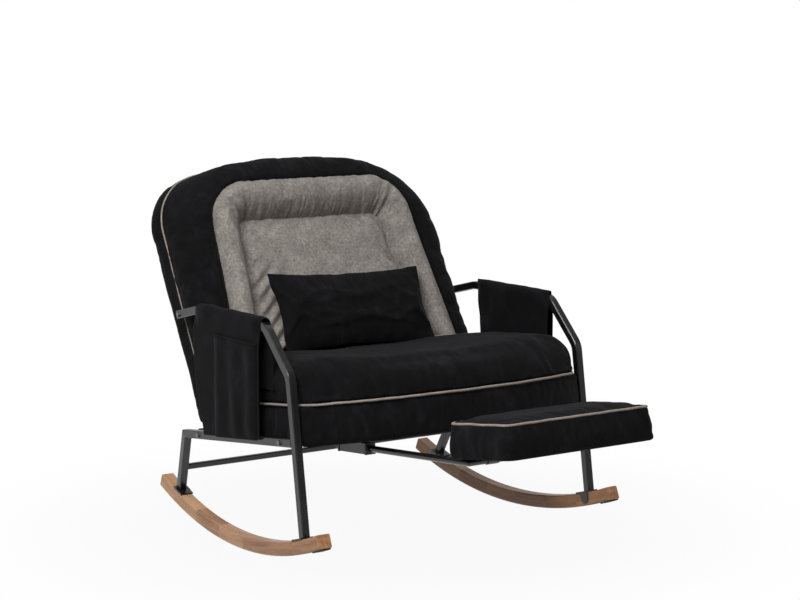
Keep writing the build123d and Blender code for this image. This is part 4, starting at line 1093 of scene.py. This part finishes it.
def arm_cover(side, sign):
    """Quilted cloth laid over the arm, with a short inner flap and a long outer one."""
    bm = bmesh.new()
    bmesh.ops.create_grid(bm, x_segments=90, y_segments=56, size=1)
    rise = COVER_TOP - COVER_BEND
    inner_run = rise - COVER_INNER_LOW
    arc = math.pi * COVER_BEND
    outer_run = rise - cover_low(0)
    total = inner_run + arc + outer_run
    for vert in bm.verts:
        gone = (vert.co.x + 1) / 2 * total
        share = (vert.co.y + 1) / 2
        if gone < inner_run:
            x, z = -COVER_HALF, COVER_INNER_LOW + gone
        elif gone < inner_run + arc:
            turn = (gone - inner_run) / COVER_BEND
            x, z = -COVER_HALF * math.cos(turn), rise + COVER_BEND * math.sin(turn)
        else:
            x, z = COVER_HALF, rise - (gone - inner_run - arc)
        front, rear = cover_span(x, z)
        y = front + (rear - front) * share
        if x > 0 and z < rise:
            z = rise - (rise - z) / outer_run * (rise - cover_low(y))
        puffed = ease(rise - COVER_PUFF_DROP, rise, z)
        lump = puffed * (COVER_PUFF + COVER_PUFF * noise.noise(Vector((y * 22, sign, z * 9))))
        ripple = (1 - puffed) * COVER_RIPPLE * noise.noise(Vector((y * 17, sign * 3.3, z * 4)))
        ends = math.exp(-(share / COVER_TUCK_REACH) ** 2) + math.exp(-((1 - share) / COVER_TUCK_REACH) ** 2)
        tuck = 1 - COVER_TUCK * puffed * ends
        z += lump * 0.8 * ease(rise - 0.01, COVER_TOP, z)
        vert.co = Vector((sign * (ARM_X + x * tuck + math.copysign(lump + ripple, x)), y, z))
    bmesh.ops.recalc_face_normals(bm, faces=bm.faces)
    obj = piece(f"{side}_arm_cover_cloth", bm, BLACK_PILE, "chair", "black_fabric", f"{side}_arm_cover",
                f"{side}_arm_pad")
    thicken(obj)


def pocket_out(y, z):
    """How far a pocket stands off its cover: open at the mouth, full below, sewn at sides and bottom."""
    across = (y - POCKET_FRONT) / (POCKET_REAR - POCKET_FRONT)
    fall = (POCKET_MOUTH - z) / (POCKET_MOUTH - cover_low(y))
    sides = max(0, 1 - (2 * across - 1) ** 6) ** 0.5
    bottom = max(0, 1 - fall**7) ** 0.5
    folds = math.sin(across * POCKET_PLEATS * math.pi + 2.2 * fall * noise.noise(Vector((y * 9, 0, z * 3))))
    body = POCKET_BULGE * (0.62 + 0.38 * fall) + POCKET_PLEAT_DEPTH * folds * (0.4 + 0.6 * fall)
    return sides * bottom * (body + POCKET_CRUMPLE * noise.noise(Vector((y * 24, 1.1, z * 13))))


def side_pocket(side, sign):
    """Gathered pocket sewn on the outer flap, with a hemmed mouth."""
    bm = bmesh.new()
    bmesh.ops.create_grid(bm, x_segments=64, y_segments=64, size=1)
    for vert in bm.verts:
        y = POCKET_FRONT + (vert.co.x + 1) / 2 * (POCKET_REAR - POCKET_FRONT)
        z = POCKET_MOUTH + (vert.co.y - 1) / 2 * (POCKET_MOUTH - cover_low(y) + POCKET_TURN_IN)
        vert.co = Vector((sign * (POCKET_X + pocket_out(y, max(z, cover_low(y)))), y, z))
    bmesh.ops.recalc_face_normals(bm, faces=bm.faces)
    obj = piece(f"{side}_side_pocket_cloth", bm, BLACK_PILE, "chair", "black_fabric", f"{side}_side_pocket")
    thicken(obj)
    mouth = [Vector((sign * (POCKET_X + pocket_out(y, POCKET_MOUTH)), y, POCKET_MOUTH))
             for y in spaced(POCKET_FRONT, POCKET_REAR, HEM_STEPS)]
    hem = tube(f"{side}_pocket_hem", mouth, POCKET_HEM, BLACK_PILE, "chair", "black_fabric")


for side, sign in SIDES:
    arm_cover(side, sign)
    side_pocket(side, sign)


# Stage, light and camera

FLOOR_HALF = 14
# Between these distances the shadow on the floor fades into white
SHADOW_NEAR, SHADOW_FAR = 0.45, 1.25
SHADOW_WHITENESS = 0.94
SURROUND_STRENGTH = 0.34
LAMP_AIM = (0, 0, 0.4)
# Name, place, size and power of each lamp
LAMPS = (("key_light", (-2.6, -1.7, 3.3), 2.0, 146), ("top_light", (0.4, 0.4, 3.4), 2.5, 9),
         ("fill_light", (2.8, -2.4, 1.6), 2.0, 6))
CAMERA_PLACE = (-2.940, -4.3035, 1.276)
CAMERA_PITCH = 7.735
CAMERA_YAW = 34.86
CAMERA_LENS = 94.55
CAMERA_SENSOR = 36


def stage():
    """White floor that keeps a faint shadow near the chair and runs out into the white surroundings."""
    bm = bmesh.new()
    bmesh.ops.create_grid(bm, x_segments=1, y_segments=1, size=FLOOR_HALF)
    mesh = bpy.data.meshes.new("floor")
    bm.to_mesh(mesh)
    bm.free()
    floor = bpy.data.objects.new("floor", mesh)
    scene.collection.objects.link(floor)
    paint = Finish("floor_paint", Roughness=0.9, Specular_IOR_Level=0.1)
    paint.colour(paint.ramp(paint.noise(2, 1), (0.3, (0.20, 0.20, 0.20)), (0.7, (0.23, 0.23, 0.23))))
    white = paint.add("ShaderNodeEmission")
    away = paint.add("ShaderNodeVectorMath", operation="LENGTH")
    paint.join(paint.place, away.inputs[0])
    fade = {"From Min": SHADOW_NEAR, "From Max": SHADOW_FAR, "To Min": SHADOW_WHITENESS}
    reach = paint.add("ShaderNodeMapRange", fade, interpolation_type="SMOOTHSTEP")
    paint.join(away.outputs["Value"], reach.inputs["Value"])
    path = paint.add("ShaderNodeLightPath")
    seen = paint.math("MAXIMUM", path.outputs["Is Camera Ray"], path.outputs["Is Glossy Ray"])
    seen = paint.math("MAXIMUM", seen, path.outputs["Is Transmission Ray"])
    blend = paint.add("ShaderNodeMixShader")
    paint.join(paint.math("MULTIPLY", seen, reach.outputs["Result"]), blend.inputs["Fac"])
    paint.join(paint.shader.outputs["BSDF"], blend.inputs[1])
    paint.join(white.outputs["Emission"], blend.inputs[2])
    paint.join(blend.outputs["Shader"], paint.nodes["Material Output"].inputs["Surface"])
    floor.data.materials.append(paint.material)


def lamp(name, place, size, power):
    """A soft square lamp that looks at the chair."""
    light = bpy.data.lights.new(name, "AREA")
    light.size = size
    light.energy = power
    obj = bpy.data.objects.new(name, light)
    obj.location = place
    obj.rotation_euler = (Vector(LAMP_AIM) - Vector(place)).to_track_quat("-Z", "Y").to_euler()
    scene.collection.objects.link(obj)


def daylight():
    """White surroundings: full strength to the camera, weaker as a lamp, dim in front when reflected."""
    world = bpy.data.worlds.new("studio")
    world.use_nodes = True
    scene.world = world
    nodes, links = world.node_tree.nodes, world.node_tree.links
    shade = nodes["Background"]
    shade.inputs["Color"].default_value = (1, 1, 1, 1)
    path = nodes.new("ShaderNodeLightPath")
    facing = nodes.new("ShaderNodeSeparateXYZ")
    links.new(nodes.new("ShaderNodeTexCoord").outputs["Generated"], facing.inputs["Vector"])
    mirrored = nodes.new("ShaderNodeMapRange")
    for socket, value in (("From Min", -0.85), ("From Max", 0.45), ("To Min", 0.10), ("To Max", 0.58)):
        mirrored.inputs[socket].default_value = value
    links.new(facing.outputs["Y"], mirrored.inputs["Value"])
    strength = SURROUND_STRENGTH
    for ray, seen in (("Is Glossy Ray", mirrored.outputs["Result"]), ("Is Transmission Ray", 1.0),
                      ("Is Camera Ray", 1.0)):
        pick = nodes.new("ShaderNodeMix")
        links.new(path.outputs[ray], pick.inputs["Factor"])
        for socket, value in (("A", strength), ("B", seen)):
            if isinstance(value, float):
                pick.inputs[socket].default_value = value
            else:
                links.new(value, pick.inputs[socket])
        strength = pick.outputs["Result"]
    links.new(strength, shade.inputs["Strength"])


def camera():
    """Camera at the photograph's angle."""
    data = bpy.data.cameras.new("camera")
    data.lens = CAMERA_LENS
    data.sensor_width = CAMERA_SENSOR
    data.sensor_fit = "HORIZONTAL"
    obj = bpy.data.objects.new("camera", data)
    obj.location = CAMERA_PLACE
    obj.rotation_euler = (math.radians(90 - CAMERA_PITCH), 0, math.radians(-CAMERA_YAW))
    scene.collection.objects.link(obj)
    scene.camera = obj


stage()
daylight()
for lamp_settings in LAMPS:
    lamp(*lamp_settings)
camera()
scene.view_settings.view_transform = "Standard"
